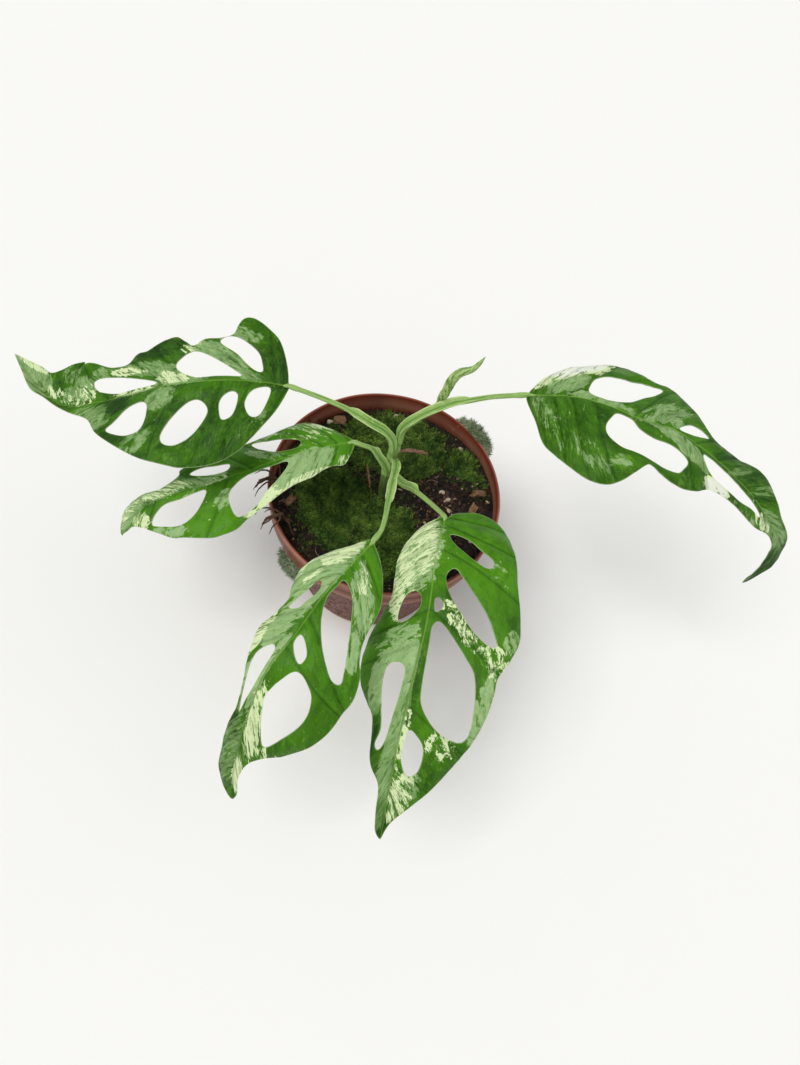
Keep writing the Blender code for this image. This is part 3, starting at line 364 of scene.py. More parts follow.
# Marbling of each blade, as soft patches of each tint. A row is the middle along the midrib and
# to its left, the half length, the half width, the turn and the strength. "shade" runs from
# light to dark green.
MARBLING = {
    "back_left": {
        "silver": [(20, -23, 9, 3.5, -10, 0.6), (31, -13, 15, 4.5, -29, 0.75),
            (19, -3, 9, 3, -20, 0.55), (63, -10, 14, 4, -12, 0.7), (48, -3, 14, 4, 0, 0.65),
            (88, -14, 10, 4, 0, 0.5), (103, -7, 10, 7, 0, 0.65), (115, -15, 10, 6, 0, 0.45),
            (14, 21, 12, 4, 50, 0.35), (57, 7, 8, 6, 20, 0.75), (91, 9, 8, 7, 0, 0.65),
            (67, 25, 10, 5, 10, 0.6), (98, 5, 8, 3, 0, 0.5), (131, -1, 13, 7, 0, 0.75)],
        "cream": [(43, -17, 5, 3, 0, 0.4), (52, -3, 9, 3.5, -10, 0.52), (77, -12, 12, 2, -12, 0.6),
            (100, -4, 9, 6, 0, 0.4), (112, -3, 9, 3, 0, 0.4), (72, -1.2, 14, 1.5, 0, 0.5),
            (133, -4, 9, 2, 20, 0.6)],
        "shade": [(70, 0, 300, 200, 0, 0.7), (6, -8, 9, 12, 0, 0.6), (60, -19, 15, 5, 5, 0.8),
            (30, 24, 32, 16, 0, 0.35), (81, 5, 9, 4, 0, 0.9), (80, 20, 10, 4, -30, 0.7)],
    },
    "left": {
        "silver": [(43, -6, 11, 3.5, -30, 0.6), (42, -18, 8, 3, 0, 0.55),
            (72, -3, 12, 4.5, 0, 0.55), (92, -4, 14, 6, 0, 0.5), (31, 7.5, 20, 7, 12, 0.95),
            (66, 10, 6, 4, 50, 0.55), (78, 4, 8, 4, 30, 0.6), (94, 17, 13, 4, -20, 0.55),
            (112, -3, 12, 6, 0, 0.65)],
        "cream": [(11, -14, 7, 3, -25, 0.62), (24, -11, 22, 9, -10, 0.26),
            (68, -1, 8, 2.5, 0, 0.45), (92, -3, 14, 4, 0, 0.42), (30, 13.5, 20, 2, 8, 0.6),
            (8, 10, 6, 3, 20, 0.5), (51, 17, 10, 4, 22, 0.55), (112, -5, 10, 4, 0, 0.45),
            (107, 6, 7, 5, -30, 0.5)],
        "shade": [(18, -10, 22, 11, 0, -0.8), (66, -15, 20, 7, 0, 0.45), (88, -4, 5, 3, 0, 0.7),
            (8, 4, 9, 4, 25, -0.8), (72, 18, 11, 9, 0, -0.7), (103, 0, 8, 3, 0, 0.6)],
    },
    "front_left": {
        "silver": [(24, -11, 22, 6, -8, 0.8), (32, -5, 28, 5, -3, 0.95), (57, -8, 12, 5, 0, 0.85),
            (75, -1.5, 20, 2, 0, 0.7), (84, -8, 12, 2, 0, 0.55), (117, -4, 20, 5, 0, 0.6),
            (138, -3, 5, 6, 0, -0.6), (30, 14, 20, 4.5, 35, 0.6), (50, 22, 10, 3.5, 30, 0.5),
            (92, 2, 12, 2.5, 0, 0.5)],
        "cream": [(24, -13, 24, 6, -8, 0.6), (28, -13, 6, 3, 0, -0.75), (40, -14, 6, 3, 0, -0.75),
            (12, -5, 10, 3.5, -10, 0.7), (63, -14, 15, 3, 8, 0.6), (22, 9, 10, 3, 40, 0.4),
            (100, 3.5, 21, 4, 5, 0.6), (111, 12, 5, 5, 0, 0.5), (126, 1.5, 11, 2.5, 0, 0.6)],
        "shade": [(70, 0, 300, 200, 0, 0.15), (33, -13, 13, 5, 0, -0.9), (103, -6, 6, 3, 20, 1),
            (122, -4, 17, 6, 0, 0.55), (112, -6, 26, 12, 0, 0.45), (18, 8, 20, 8, 35, -0.7),
            (88, 28, 28, 8, 0, 0.3), (106, 17, 8, 6, -40, 0.45)],
    },
    "front_right": {
        "silver": [(23, -9, 22, 11, 0, 0.85), (67, -14, 9, 3.5, -20, 0.5),
            (75, -12, 9, 5, -35, 0.8), (88, -15.5, 14, 3.5, 8, 0.85), (92, -3, 32, 4, 0, 0.9),
            (68, -6, 9, 6, 20, 0.75), (132, -3, 20, 4, 0, 0.75), (25, 27, 4, 5, 60, 0.45),
            (58, 37, 6, 4, 0, 0.55), (88, 30.5, 18, 4, 0, 0.8), (130, 5, 14, 6, -20, 0.5),
            (125, 8, 8, 4, -30, 0.4)],
        "cream": [(21, -9, 21, 10, -5, 0.56), (46, -15, 12, 4.5, 8, 0.62), (55, 14, 13, 4, 45, 0.5),
            (66, 31, 9, 7, 40, 0.45), (106, 17, 8, 7, 55, 0.42), (108, 1.5, 16, 2, 0, 0.5),
            (127, 5, 9, 5, -15, 0.48), (137, 5, 9, 3, -30, 0.45)],
        "shade": [(70, 0, 300, 200, 0, 0.15), (108, -12, 12, 2.5, 0, 0.6),
            (120, -5, 40, 12, 0, 0.6), (144, -2, 9, 4, 0, 0.8), (20, 20, 34, 22, 0, -0.35),
            (53, 12, 12, 7, 45, 0.6), (118, 18, 14, 9, -35, 0.85), (78, 1.5, 22, 2, 0, 0.7)],
    },
    "right": {
        "silver": [(15, -15, 18, 4, -60, 0.4), (35, -25, 12, 5, -35, 0.4),
            (45, -23, 6, 3, 50, 0.48), (8, -8, 10, 3, -60, 0.45), (75, -4.5, 18, 3.5, -10, 0.9),
            (122, -8, 15, 2.5, 8, 0.5), (15, 9, 10, 7, 30, 0.85), (31, 2, 16, 2.5, 0, 0.6),
            (62, 7, 20, 5, 25, 0.6), (68, 5, 5, 4, 0, 0.8), (108, 4, 10, 2, 40, 0.55),
            (125, 6, 10, 2.5, 40, 0.5), (148, 0, 18, 4.5, 0, 0.65)],
        "cream": [(99, -11, 9, 4, 5, 1), (136, -3, 9, 2.5, 0, 0.55), (17, 21, 16, 7, 38, 1),
            (4, 9, 5, 5, 50, 0.6)],
        "shade": [(90, 0, 300, 200, 0, 0.6), (33, -12, 14, 8, 0, 0.25), (85, -14, 9, 7, 0, 0.35),
            (110, -9, 5, 2, 0, 0.7), (45, 28, 16, 7, 0, -0.15), (82, 3, 7, 4, 0, -0.5),
            (110, 6, 22, 8, 0, 0.55), (182, 0, 20, 7, 0, 0.8)],
    },
}

def linear(code):
    """A colour given as #rrggbb, in the linear values that Blender works in."""
    shown = [int(code[i : i + 2], 16) / 255 for i in (1, 3, 5)]
    return tuple(v / 12.92 if v <= 0.04045 else ((v + 0.055) / 1.055) ** 2.4 for v in shown)


def colour(name, about, code):
    return FloatVectorProperty(
        name=name, description=about, subtype="COLOR", size=3, min=0, max=1, default=linear(code)
    )


def length(name, about, millimetres):
    return FloatProperty(
        name=name, description=about, default=millimetres * MM, min=0, unit="LENGTH", precision=5
    )


def amount(name, about, value):
    return FloatProperty(name=name, description=about, default=value, min=0)


def number(name, about, value, least, most):
    return IntProperty(name=name, description=about, default=value, min=least, max=most)


class BladeSettings(PropertyGroup):
    """Thickness, relief and colours of the five open blades."""

    thickness: length("Thickness", "Thickness of a blade away from its margin", 0.5)
    margin: length("Margin thickness", "Thickness of a blade at its margin", 0.26)
    spacing: length("Mesh spacing", "Distance between a blade's mesh points", 0.85)
    quilting: length("Quilting", "How far a blade bulges between two side veins", 1.1)
    groove: length("Vein grooves", "How deep the side veins lie", 0.45)
    bright: colour("Bright green", "Youngest green of the blades", "#508c14")
    deep: colour("Deep green", "Darkest green of the blades", "#183d07")
    fleck: colour("Flecks", "Yellow-green of the fine flecks in the green", "#84b83f")
    silver: colour("Silver", "Silver-green of the marbling", "#9fbf83")
    cream: colour("Cream", "Cream of the marbling", "#e0efba")
    midrib: colour("Midrib", "Pale green of the midrib", "#86b54a")
    underside: colour("Underside", "Pale matt green of the underside", "#577f38")


class StalkSettings(PropertyGroup):
    """Sizes and colours of the stem, the stalks, the new leaf and the roots."""

    stalk: length("Stalk radius", "Radius of a stalk beyond its sheath", 1.2)
    sheath: length("Sheath height", "How far a sheath's wings stand out of the stalk", 1.5)
    stem: length("Stem radius", "Radius of the main stem between its nodes", 2.1)
    green: colour("Stalk green", "Green of the stalks", "#70a133")
    pale: colour("Stalk stripes", "Pale stripes and wing edges of the stalks", "#cadf9c")
    shadow: colour("Stalk grooves", "Darker green in the grooves of the stalks", "#4d7f22")
    olive: colour("Stem olive", "Older green at the foot of the stem", "#4a6228")
    root: colour("Root brown", "Brown of the aerial and the dead roots", "#7d5b40")


class PotSettings(PropertyGroup):
    """Mesh and colours of the plastic pot."""

    segments: number("Segments", "Segments round the pot", 168, 24, 400)
    wall: length("Wall thickness", "Thickness of the pot's wall", 0.9)
    plastic: colour("Plastic", "Terracotta colour of the plastic", "#8f3a23")
    # The pale outside colour is dust, and it also paints the sheen of the lit outer wall.
    dust_and_sheen: colour("Dust", "Pale dust on the outside of the pot", "#b08672")
    dirt: colour("Dirt", "Dried soil on the pot", "#2a1812")


class GroundSettings(PropertyGroup):
    """Mesh and colours of the soil, the moss and the loose bits."""

    lumps: length("Soil lumps", "Height of the lumps in the soil's surface", 1.1)
    crumbs: number("Crumbs", "Loose crumbs on the soil", 3300, 0, 6000)
    fibres: number("Fibres", "Loose fibres on the soil", 420, 0, 2000)
    moss_height: length("Moss height", "Height of the moss cushions under their shoots", 2.4)
    shoot: length("Shoot length", "Length of a moss shoot", 2.9)
    density: amount("Shoot density", "Moss shoots on each square millimetre", 1.3)
    soil: colour("Soil", "Dark damp soil", "#18110e")
    crumb: colour("Crumb", "Paler crumbs of the soil", "#573c2d")
    moss_deep: colour("Moss shade", "Dark green at the foot of the moss", "#284a11")
    moss_bright: colour("Moss tips", "Bright green of the moss tips", "#b0d85c")
    dry_deep: colour("Dry moss shade", "Dark grey-green inside the dry moss", "#75895e")
    dry_bright: colour("Dry moss tips", "Pale grey-green of the dry moss", "#dde6ca")
    bark: colour("Bark", "Brown of the bark chips", "#7b5a40")
    perlite: colour("Perlite", "Off-white of the perlite grains", "#cfc4b0")


class StageSettings(PropertyGroup):
    """Floor, lights and camera."""

    floor: colour("Floor", "Pale floor", "#f4f4f2")
    key: amount("Key light", "Strength of the key light", 1.9)
    fill: amount("Fill light", "Strength of the side light", 0.4)
    sky: amount("Sky", "Strength of the even light", 0.42)
    backdrop: amount("Backdrop", "Brightness of the sky behind the floor", 0.957)
    lens: FloatProperty(
        name="Lens", description="Focal length of the camera", default=27.04, unit="CAMERA"
    )


def spline(points, per_span, closed=False):
    """Points on the smooth curve through the given ones. A point given twice is a corner."""
    given = np.array(points, float)
    count = len(given)
    found = []
    for i in range(count if closed else count - 1):
        near = range(i - 1, i + 3)
        a, b, c, d = (given[k % count if closed else min(max(k, 0), count - 1)] for k in near)
        if np.allclose(b, c):
            continue
        for u in np.arange(per_span) / per_span:
            bend = (2 * a - 5 * b + 4 * c - d) * u**2 + (3 * b - a - 3 * c + d) * u**3
            found.append(0.5 * (2 * b + (c - a) * u + bend))
    if not closed:
        found.append(given[-1])
    return np.array(found)


def reach_along(line):
    """How far along the line each of its points is."""
    steps = np.linalg.norm(np.diff(line, axis=0), axis=1)
    return np.concatenate([[0.0], np.cumsum(steps)])


def columns_at(at, reach, values):
    """Each column of the values, read off at the given places along the reach."""
    return np.stack([np.interp(at, reach, column) for column in values.T], axis=-1)


def even_loop(points, step):
    """A closed smooth curve through the points, with its own points about a step apart."""
    fine = spline(points, 16, closed=True)
    ends = np.vstack([fine, fine[:1]])
    reach = reach_along(ends)
    count = max(8, round(reach[-1] / step))
    return columns_at(np.arange(count) * reach[-1] / count, reach, ends)


def even_line(points, step):
    """An open smooth curve through the points, with its own points about a step apart."""
    fine = spline(points, 16)
    reach = reach_along(fine)
    at = np.linspace(0, reach[-1], max(4, round(reach[-1] / step) + 1))
    return columns_at(at, reach, fine)


def inside(points, loop, holes=()):
    """Which of the flat points lie inside a closed loop and outside its holes."""
    x, y = points[:, 0], points[:, 1]
    found = np.zeros(len(points), bool)
    for (ax, ay), (bx, by) in zip(loop, np.roll(loop, -1, axis=0)):
        if ay == by:
            continue
        crosses = (ay > y) != (by > y)
        found ^= crosses & (x < ax + (y - ay) * (bx - ax) / (by - ay))
    for hole in holes:
        found &= ~inside(points, hole)
    return found


def distance_to(points, loops):
    """How far each flat point is from the nearest point of some loops."""
    edge = np.vstack(loops)
    found = []
    for start in range(0, len(points), 2000):
        part = points[start : start + 2000, None, :] - edge[None, :, :]
        found.append(np.sqrt((part**2).sum(axis=2).min(axis=1)))
    return np.concatenate(found)


def smooth_noise(points, size, seed=0):
    """Smooth repeatable noise from -1 to 1 at each point, with lumps about as wide as size."""
    at = np.asarray(points, float) / size + 37.3 * seed
    low = np.floor(at).astype(np.int64)
    part = at - low
    part = part * part * (3 - 2 * part)
    total = np.zeros(len(at))
    for corner in range(2 ** at.shape[1]):
        weight = np.ones(len(at))
        mixed = np.full(len(at), 40503 + 7919 * seed, np.int64)
        for axis, prime in zip(range(at.shape[1]), (73856093, 19349663, 83492791)):
            step = corner >> axis & 1
            weight = weight * (part[:, axis] if step else 1 - part[:, axis])
            mixed = mixed ^ (low[:, axis] + step) * prime
        mixed = (mixed ^ mixed >> 13) * 1274126177 & 0xFFFFFFFF
        mixed = (mixed ^ mixed >> 15) * 2246822519 & 0xFFFFFFFF
        total += weight * (mixed / 0x7FFFFFFF - 1)
    return total


def wander(points, size, seed):
    """Smooth noise for each of the points' own directions."""
    return np.stack([smooth_noise(points, size, seed + k) for k in range(points.shape[1])], axis=1)


def grid_of(*parts):
    """The parts spread over one grid and set side by side."""
    return np.stack(np.broadcast_arrays(*parts), axis=-1)


def unit(vectors):
    return vectors / np.maximum(np.linalg.norm(vectors, axis=-1, keepdims=True), 1e-12)


def bell(values, width):
    """1 where a value is 0, falling away smoothly over the width on both sides."""
    return np.exp(-((values / np.asarray(width)) ** 2))


def around(count):
    return np.linspace(0, 2 * np.pi, count, endpoint=False)


def circle(turns):
    return np.stack([np.cos(turns), np.sin(turns)], axis=-1)


def beside(directions):
    """Two directions at right angles to each of the given ones."""
    spare = np.where(np.abs(directions[:, 2:]) < 0.8, [[0, 0, 1.0]], [[1.0, 0, 0]])
    side = unit(np.cross(directions, spare))
    return side, np.cross(directions, side)


def flat_sheet(outline, holes, spacing):
    """A finely triangulated flat sheet: its points, its triangles and its edge loops."""
    loops = [even_loop(loop, spacing) for loop in [outline, *holes]]
    low = loops[0].min(axis=0)
    high = loops[0].max(axis=0)
    rows = np.arange(low[1], high[1], spacing * 0.87)
    grid = np.array([
        (x + (i % 2) * spacing / 2, y)
        for i, y in enumerate(rows)
        for x in np.arange(low[0], high[0], spacing)
    ])
    grid = grid[inside(grid, loops[0], loops[1:])]
    grid = grid[distance_to(grid, loops) > spacing * 0.5]
    edges = []
    first = 0
    for loop in loops:
        count = len(loop)
        edges += [(first + i, first + (i + 1) % count) for i in range(count)]
        first += count
    found = delaunay_2d_cdt([Vector(p) for p in np.vstack([*loops, grid])], edges, [], 0, 1e-6)
    points = np.array([tuple(p) for p in found[0]])
    triangles = np.array([tuple(face) for face in found[2]])
    kept = inside(points[triangles].mean(axis=1), loops[0], loops[1:])
    return points, triangles[kept], loops


def both_sides(triangles, count):
    """The faces of a closed slab whose lower points follow its upper ones."""
    faces = [*triangles.tolist(), *(triangles[:, ::-1] + count).tolist()]
    ends = {(a, b) for face in triangles.tolist() for a, b in zip(face, face[1:] + face[:1])}
    faces += [(b, a, a + count, b + count) for a, b in ends if (b, a) not in ends]
    return faces


def tube_faces(levels, count):
    """The faces of rings of points that follow each other, closed by a middle point at each end."""
    rows = np.arange(levels - 1)[:, None] * count
    columns = np.arange(count)[None, :]
    after = (columns + 1) % count
    faces = grid_of(rows + columns, rows + after, rows + count + after, rows + count + columns)
    faces = faces.reshape(-1, 4).tolist()
    foot = levels * count
    last = foot - count
    faces += [[foot, (i + 1) % count, i] for i in range(count)]
    faces += [[foot + 1, last + i, last + (i + 1) % count] for i in range(count)]
    return faces


class BladeSurface:
    """The curved sheet that a blade's flat pattern is laid on."""

    def __init__(self, blade):
        self.line = spline(blade["midrib"], 24)
        self.reach = reach_along(self.line)
        self.length = self.reach[-1]
        # Eased over a few millimetres, so that the sheet doesn't pinch inside a sharp bend.
        gaps = (self.reach[:, None] - self.reach[None, :]) / BEND_EASE
        weights = np.exp(-(gaps**2) / 2) * np.gradient(self.reach)[None, :]
        self.along = unit(weights @ unit(np.gradient(self.line, self.reach, axis=0)))
        chord = self.line[-1] - self.line[0]
        level = np.array([-chord[1], chord[0], 0.0])
        self.across = unit(level - (self.along @ level)[:, None] * self.along)
        self.up = np.cross(self.along, self.across)
        self.stations = np.array(blade["section"], float)
        self.waves = blade["waves"]

    def section(self, s, column):
        """One column of the section table, eased from row to row."""
        rows = self.stations
        row = np.interp(np.clip(s / self.length, 0.0, 1.0), rows[:, 0], np.arange(len(rows)))
        low = np.clip(np.floor(row).astype(int), 0, len(rows) - 2)
        part = row - low
        part = part * part * (3 - 2 * part)
        return rows[low, column] * (1 - part) + rows[low + 1, column] * part

    def at(self, s, t):
        """Where the pattern's points (s, t) lie in space."""
        held = np.clip(s, 0.0, self.length)
        point, along, across, up = (
            columns_at(held, self.reach, values)
            for values in (self.line, self.along, self.across, self.up)
        )
        point = point + along * (s - held)[..., None]
        left = t >= 0
        bank = np.radians(self.section(s, 1))
        rise = np.radians(np.where(left, self.section(s, 2), self.section(s, 3)))
        curl = np.radians(np.where(left, self.section(s, 4), self.section(s, 5))) / 10
        curl = np.where(np.abs(curl) < 1e-6, 1e-6, curl)
        reach = np.abs(t)
        out = (np.sin(rise + curl * reach) - np.sin(rise)) / curl
        lift = (np.cos(rise) - np.cos(rise + curl * reach)) / curl
        for half, height, count, phase in self.waves:
            share = np.clip(reach / 30, 0, 1.5)
            swing = height * share**2 * np.sin(2 * np.pi * (s / self.length * count + phase))
            lift = lift + np.where(t * half >= 0, swing, 0.0)
        out = np.where(left, out, -out)
        side = np.cos(bank) * out - np.sin(bank) * lift
        top = np.sin(bank) * out + np.cos(bank) * lift
        return point + across * side[..., None] + up * top[..., None]

    def normal(self, s, t):
        step = 0.5
        ds = self.at(s + step, t) - self.at(s - step, t)
        dt = self.at(s, t + step) - self.at(s, t - step)
        return unit(np.cross(ds, dt))


def vein_places(s, t, veins):
    """Where each point lies among the side veins.

    Gives the number of the vein before it plus the share of the way to the next one, and how
    far away the nearest side vein is.
    """
    order = np.zeros(len(s))
    away = np.full(len(s), 99.0)
    for half, rows in ((t >= 0, veins["left"]), (t < 0, veins["right"])):
        start, end, out = np.array(rows, float).T
        slope = (end - start) / out
        lines = start + (end - start) * (np.abs(t[half])[:, None] / out) ** 1.12
        lines = np.maximum.accumulate(lines, axis=1)
        here = s[half]
        before = (lines <= here[:, None]).sum(axis=1)
        padded = np.hstack([lines[:, :1] - 14, lines, lines[:, -1:] + 14])
        each = np.arange(len(here))
        low = padded[each, before]
        high = padded[each, before + 1]
        share = np.clip((here - low) / np.maximum(high - low, 0.5), 0, 1)
        lean = np.sqrt(1 + slope[np.clip(before - 1, 0, len(rows) - 1)] ** 2)
        order[half] = before + share
        away[half] = np.minimum(here - low, high - here).clip(0) / lean
    return order, away


def soft_patches(s, t, tints):
    """The silver, cream and shade weights that a blade's marbling gives each point."""
    found = []
    for tint in ("silver", "cream", "shade"):
        total = np.zeros(len(s))
        for middle_s, middle_t, half_length, half_width, turn, strength in tints[tint]:
            cos, sin = math.cos(math.radians(turn)), math.sin(math.radians(turn))
            ds = s - middle_s
            dt = t - middle_t
            along = (ds * cos + dt * sin) / half_length
            across = (dt * cos - ds * sin) / half_width
            weight = strength * np.clip(1.5 - (along**2 + across**2), 0, 1)
            added = tint == "shade" or strength < 0
            total = total + weight if added else np.maximum(total, weight)
        found.append(total)
    return np.stack(found, axis=1)


class Piece:
    """Points, faces and point values of one piece, gathered in millimetres."""

    def __init__(self):
        self.points = []
        self.faces = []
        self.values = {}
        self.count = 0

    def add(self, points, faces, **values):
        """Adds points and faces, with values that hold for all the points or for each one."""
        points = np.asarray(points, float)
        self.points.append(points)
        self.faces += [[corner + self.count for corner in face] for face in faces]
        self.count += len(points)
        for name, value in values.items():
            value = np.asarray(value, float)
            if not value.ndim:
                value = np.full(len(points), value)
            self.values.setdefault(name, []).append(value)

    def build(self, name, finish, replaces=(), sharp=None):
        """Makes the object, rides it on the plant's one body and gives it its finish."""
        data = bpy.data.meshes.new(name)
        data.from_pydata(np.vstack(self.points) * MM, [], self.faces)
        for label, values in self.values.items():
            values = np.concatenate(values)
            kind = "FLOAT" if values.ndim == 1 else "FLOAT_VECTOR"
            layer = data.attributes.new(label, kind, "POINT")
            layer.data.foreach_set("value" if values.ndim == 1 else "vector", values.ravel())
        data.update()
        data.shade_smooth()
        if sharp:
            data.set_sharp_from_angle(angle=math.radians(sharp))
        data.materials.append(finish)
        piece = bpy.data.objects.new(name, data)
        bpy.context.scene.collection.objects.link(piece)
        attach(piece, "root")
        if replaces:
            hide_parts(*replaces)
        return piece


def swept(piece, line, top, angles, radii, **values):
    """Adds a closed tube: radii holds one row of radii for each point of the line."""
    along = unit(np.gradient(line, axis=0))
    top = np.asarray(top, float)
    tops = [unit(top - along[0] * (along[0] @ top))]
    for direction in along[1:]:
        tops.append(unit(tops[-1] - direction * (tops[-1] @ direction)))
    tops = np.array(tops)
    side = np.cross(tops, along)
    ring = (
        side[:, None, :] * np.cos(angles)[None, :, None]
        + tops[:, None, :] * np.sin(angles)[None, :, None]
    )
    points = (line[:, None, :] + ring * radii[:, :, None]).reshape(-1, 3)
    shown = {}
    for name, grid in values.items():
        more = np.shape(grid)[2:]
        flat = np.broadcast_to(grid, radii.shape + more).reshape(-1, *more)
        shown[name] = np.concatenate([flat, flat[:1], flat[-1:]])
    points = np.vstack([points, line[:1], line[-1:]])
    piece.add(points, tube_faces(len(line), len(angles)), **shown)


def tetrahedra(piece, feet, directions, lengths, width, tone):
    """Adds closed slivers with three-cornered feet, one for each row."""
    side, front = beside(directions)
    corners = []
    for turn, flat in ((0, 1.0), (2.0944, 0.45), (4.1888, 0.45)):
        reach = side * math.cos(turn) + front * math.sin(turn) * flat
        corners.append(feet + reach * width)
    corners.append(feet + directions * lengths[:, None])
    points = np.stack(corners, axis=1).reshape(-1, 3)
    faces = np.array([(2, 1, 0), (0, 1, 3), (1, 2, 3), (2, 0, 3)])
    faces = (np.arange(len(feet))[:, None, None] * 4 + faces).reshape(-1, 3).tolist()
    tips = np.tile([0.0, 0.0, 0.0, 1.0], len(feet))
    piece.add(points, faces, tip=tips, tone=np.repeat(tone, 4))


class Nodes:
    """Adds nodes to one material or node group, laid out in rows as they come."""

    def __init__(self, tree):
        self.tree = tree

    def add(self, kind, inputs=None, **settings):
        made = self.tree.nodes.new(kind)
        for name, value in settings.items():
            setattr(made, name, value)
        for name, value in (inputs or {}).items():
            self.feed(made.inputs[name], value)
        place = len(self.tree.nodes)
        made.location = (place % 8 * 220, place // 8 * -320)
        return made

    def feed(self, socket, value):
        if isinstance(value, bpy.types.NodeSocket):
            self.tree.links.new(value, socket)
        elif socket.type == "RGBA" and len(value) == 3:
            socket.default_value = (*value, 1.0)
        else:
            socket.default_value = value

    def maths(self, operation, *values, clamp=False):
        inputs = dict(enumerate(values))
        return self.add("ShaderNodeMath", inputs, operation=operation, use_clamp=clamp).outputs[0]

    def times(self, a, b):
        return self.maths("MULTIPLY", a, b)

    def most(self, a, b):
        return self.maths("MAXIMUM", a, b)

    def times_plus(self, a, b, c, clamp=False):
        return self.maths("MULTIPLY_ADD", a, b, c, clamp=clamp)

    def mix(self, share, a, b):
        return self.add("ShaderNodeMix", {0: share, 6: a, 7: b}, data_type="RGBA").outputs[2]

    def tinted(self, mask, strength, shown, tint):
        """The shown colour mixed with a tint where the mask is high."""
        return self.mix(self.times(mask, strength), shown, tint)

    def ramp(self, value, low, high, start=0.0, end=1.0):
        """A value eased from start to end as the given one goes from low to high."""
        inputs = {0: value, 1: low, 2: high, 3: start, 4: end}
        return self.add("ShaderNodeMapRange", inputs, interpolation_type="SMOOTHSTEP").outputs[0]

    def value(self, name):
        return self.add("ShaderNodeAttribute", attribute_name=name).outputs["Fac"]

    def vector(self, name):
        return self.add("ShaderNodeAttribute", attribute_name=name).outputs["Vector"]

    def parts(self, vector):
        return self.add("ShaderNodeSeparateXYZ", {0: vector}).outputs

    def noise(self, vector, scale, detail=3.0, rough=0.55, distortion=0.0):
        inputs = {"Vector": vector, "Scale": scale, "Detail": detail, "Roughness": rough}
        return self.add("ShaderNodeTexNoise", {**inputs, "Distortion": distortion}).outputs[0]

    def group(self, name, *values):
        """A shared node group, fed with the values in the order of its sockets."""
        if name not in bpy.data.node_groups:
            GROUPS[name]()
        made = self.add("ShaderNodeGroup", node_tree=bpy.data.node_groups[name])
        for socket, value in zip(made.inputs, values):
            self.feed(socket, value)
        return made.outputs

    def streaks(self, flow, weight, across, along, seed=0.0, softness=0.06):
        return self.group("Marbling", flow, weight, across, along, seed, softness)["Mask"]

    def specks(self, place, scale, share, radius, ragged):
        return self.group("Specks", place, scale, share, radius, ragged)["Mask"]

    def places(self):
        """The piece's own coordinates, in millimetres."""
        found = self.add("ShaderNodeTexCoord").outputs["Object"]
        return self.add("ShaderNodeVectorMath", {0: found, 3: 1 / MM}, operation="SCALE").outputs[0]


FLOAT = "NodeSocketFloat"
VECTOR = "NodeSocketVector"
COLOUR = "NodeSocketColor"


def new_group(name, inputs, outputs):
    """A node group with the named sockets. Gives its nodes, its inputs and its output node."""
    tree = bpy.data.node_groups.new(name, "ShaderNodeTree")
    for label, kind, value in inputs:
        socket = tree.interface.new_socket(label, in_out="INPUT", socket_type=kind)
        if value is not None:
            socket.default_value = value
    for label, kind in outputs:
        tree.interface.new_socket(label, in_out="OUTPUT", socket_type=kind)
    nodes = Nodes(tree)
    given = nodes.add("NodeGroupInput").outputs
    return nodes, given, nodes.add("NodeGroupOutput").inputs


def marbling_group():
    """Streaks that run along the veins where a weight is high, as a mask."""
    nodes, given, out = new_group(
        "Marbling",
        [
            ("Flow", VECTOR, None), ("Weight", FLOAT, 0.5), ("Across", FLOAT, 0.3),
            ("Along", FLOAT, 0.06), ("Seed", FLOAT, 0.0), ("Softness", FLOAT, 0.06),
        ],
        [("Mask", FLOAT)],
    )
    parts = nodes.parts(given["Flow"])
    across = nodes.times(parts[0], given["Across"])
    along = nodes.times(parts[1], given["Along"])
    seed = nodes.maths("ADD", parts[2], given["Seed"])
    place = nodes.add("ShaderNodeCombineXYZ", {0: across, 1: along, 2: seed}).outputs[0]
    level = nodes.times_plus(nodes.noise(place, 1.0, 5.0, 0.62, 0.7), 1.9, -0.95)
    level = nodes.times_plus(nodes.noise(place, 4.3, 3.0, 0.6, 0.2), 0.8, level)
    level = nodes.maths("ADD", level, given["Weight"])
    low = nodes.maths("SUBTRACT", 0.85, given["Softness"])
    high = nodes.maths("ADD", 0.85, given["Softness"])
    nodes.feed(out["Mask"], nodes.ramp(level, low, high))


def mottle_group():
    """Blends three colours by two sizes of noise, and gives a height for a bump."""
    nodes, given, out = new_group(
        "Mottle",
        [
            ("Vector", VECTOR, None), ("Scale", FLOAT, 0.3), ("Fine Scale", FLOAT, 2.0),
            ("Main", COLOUR, None), ("Second", COLOUR, None), ("Third", COLOUR, None),
            ("Second Share", FLOAT, 0.5), ("Third Share", FLOAT, 0.5),
        ],
        [("Color", COLOUR), ("Height", FLOAT)],
    )

    def share_of(noise, share, softness):
        edge = nodes.maths("SUBTRACT", 1.0, given[share])
        low = nodes.maths("SUBTRACT", edge, softness)
        return nodes.ramp(noise, low, nodes.maths("ADD", edge, softness))

    broad = nodes.noise(given["Vector"], given["Scale"], 4.0)
    fine = nodes.noise(given["Vector"], given["Fine Scale"], 4.0, 0.65)
    mixed = nodes.mix(share_of(broad, "Second Share", 0.2), given["Main"], given["Second"])
    mixed = nodes.mix(share_of(fine, "Third Share", 0.12), mixed, given["Third"])
    nodes.feed(out["Color"], mixed)
    nodes.feed(out["Height"], nodes.times_plus(fine, 0.6, nodes.times(broad, 0.4)))


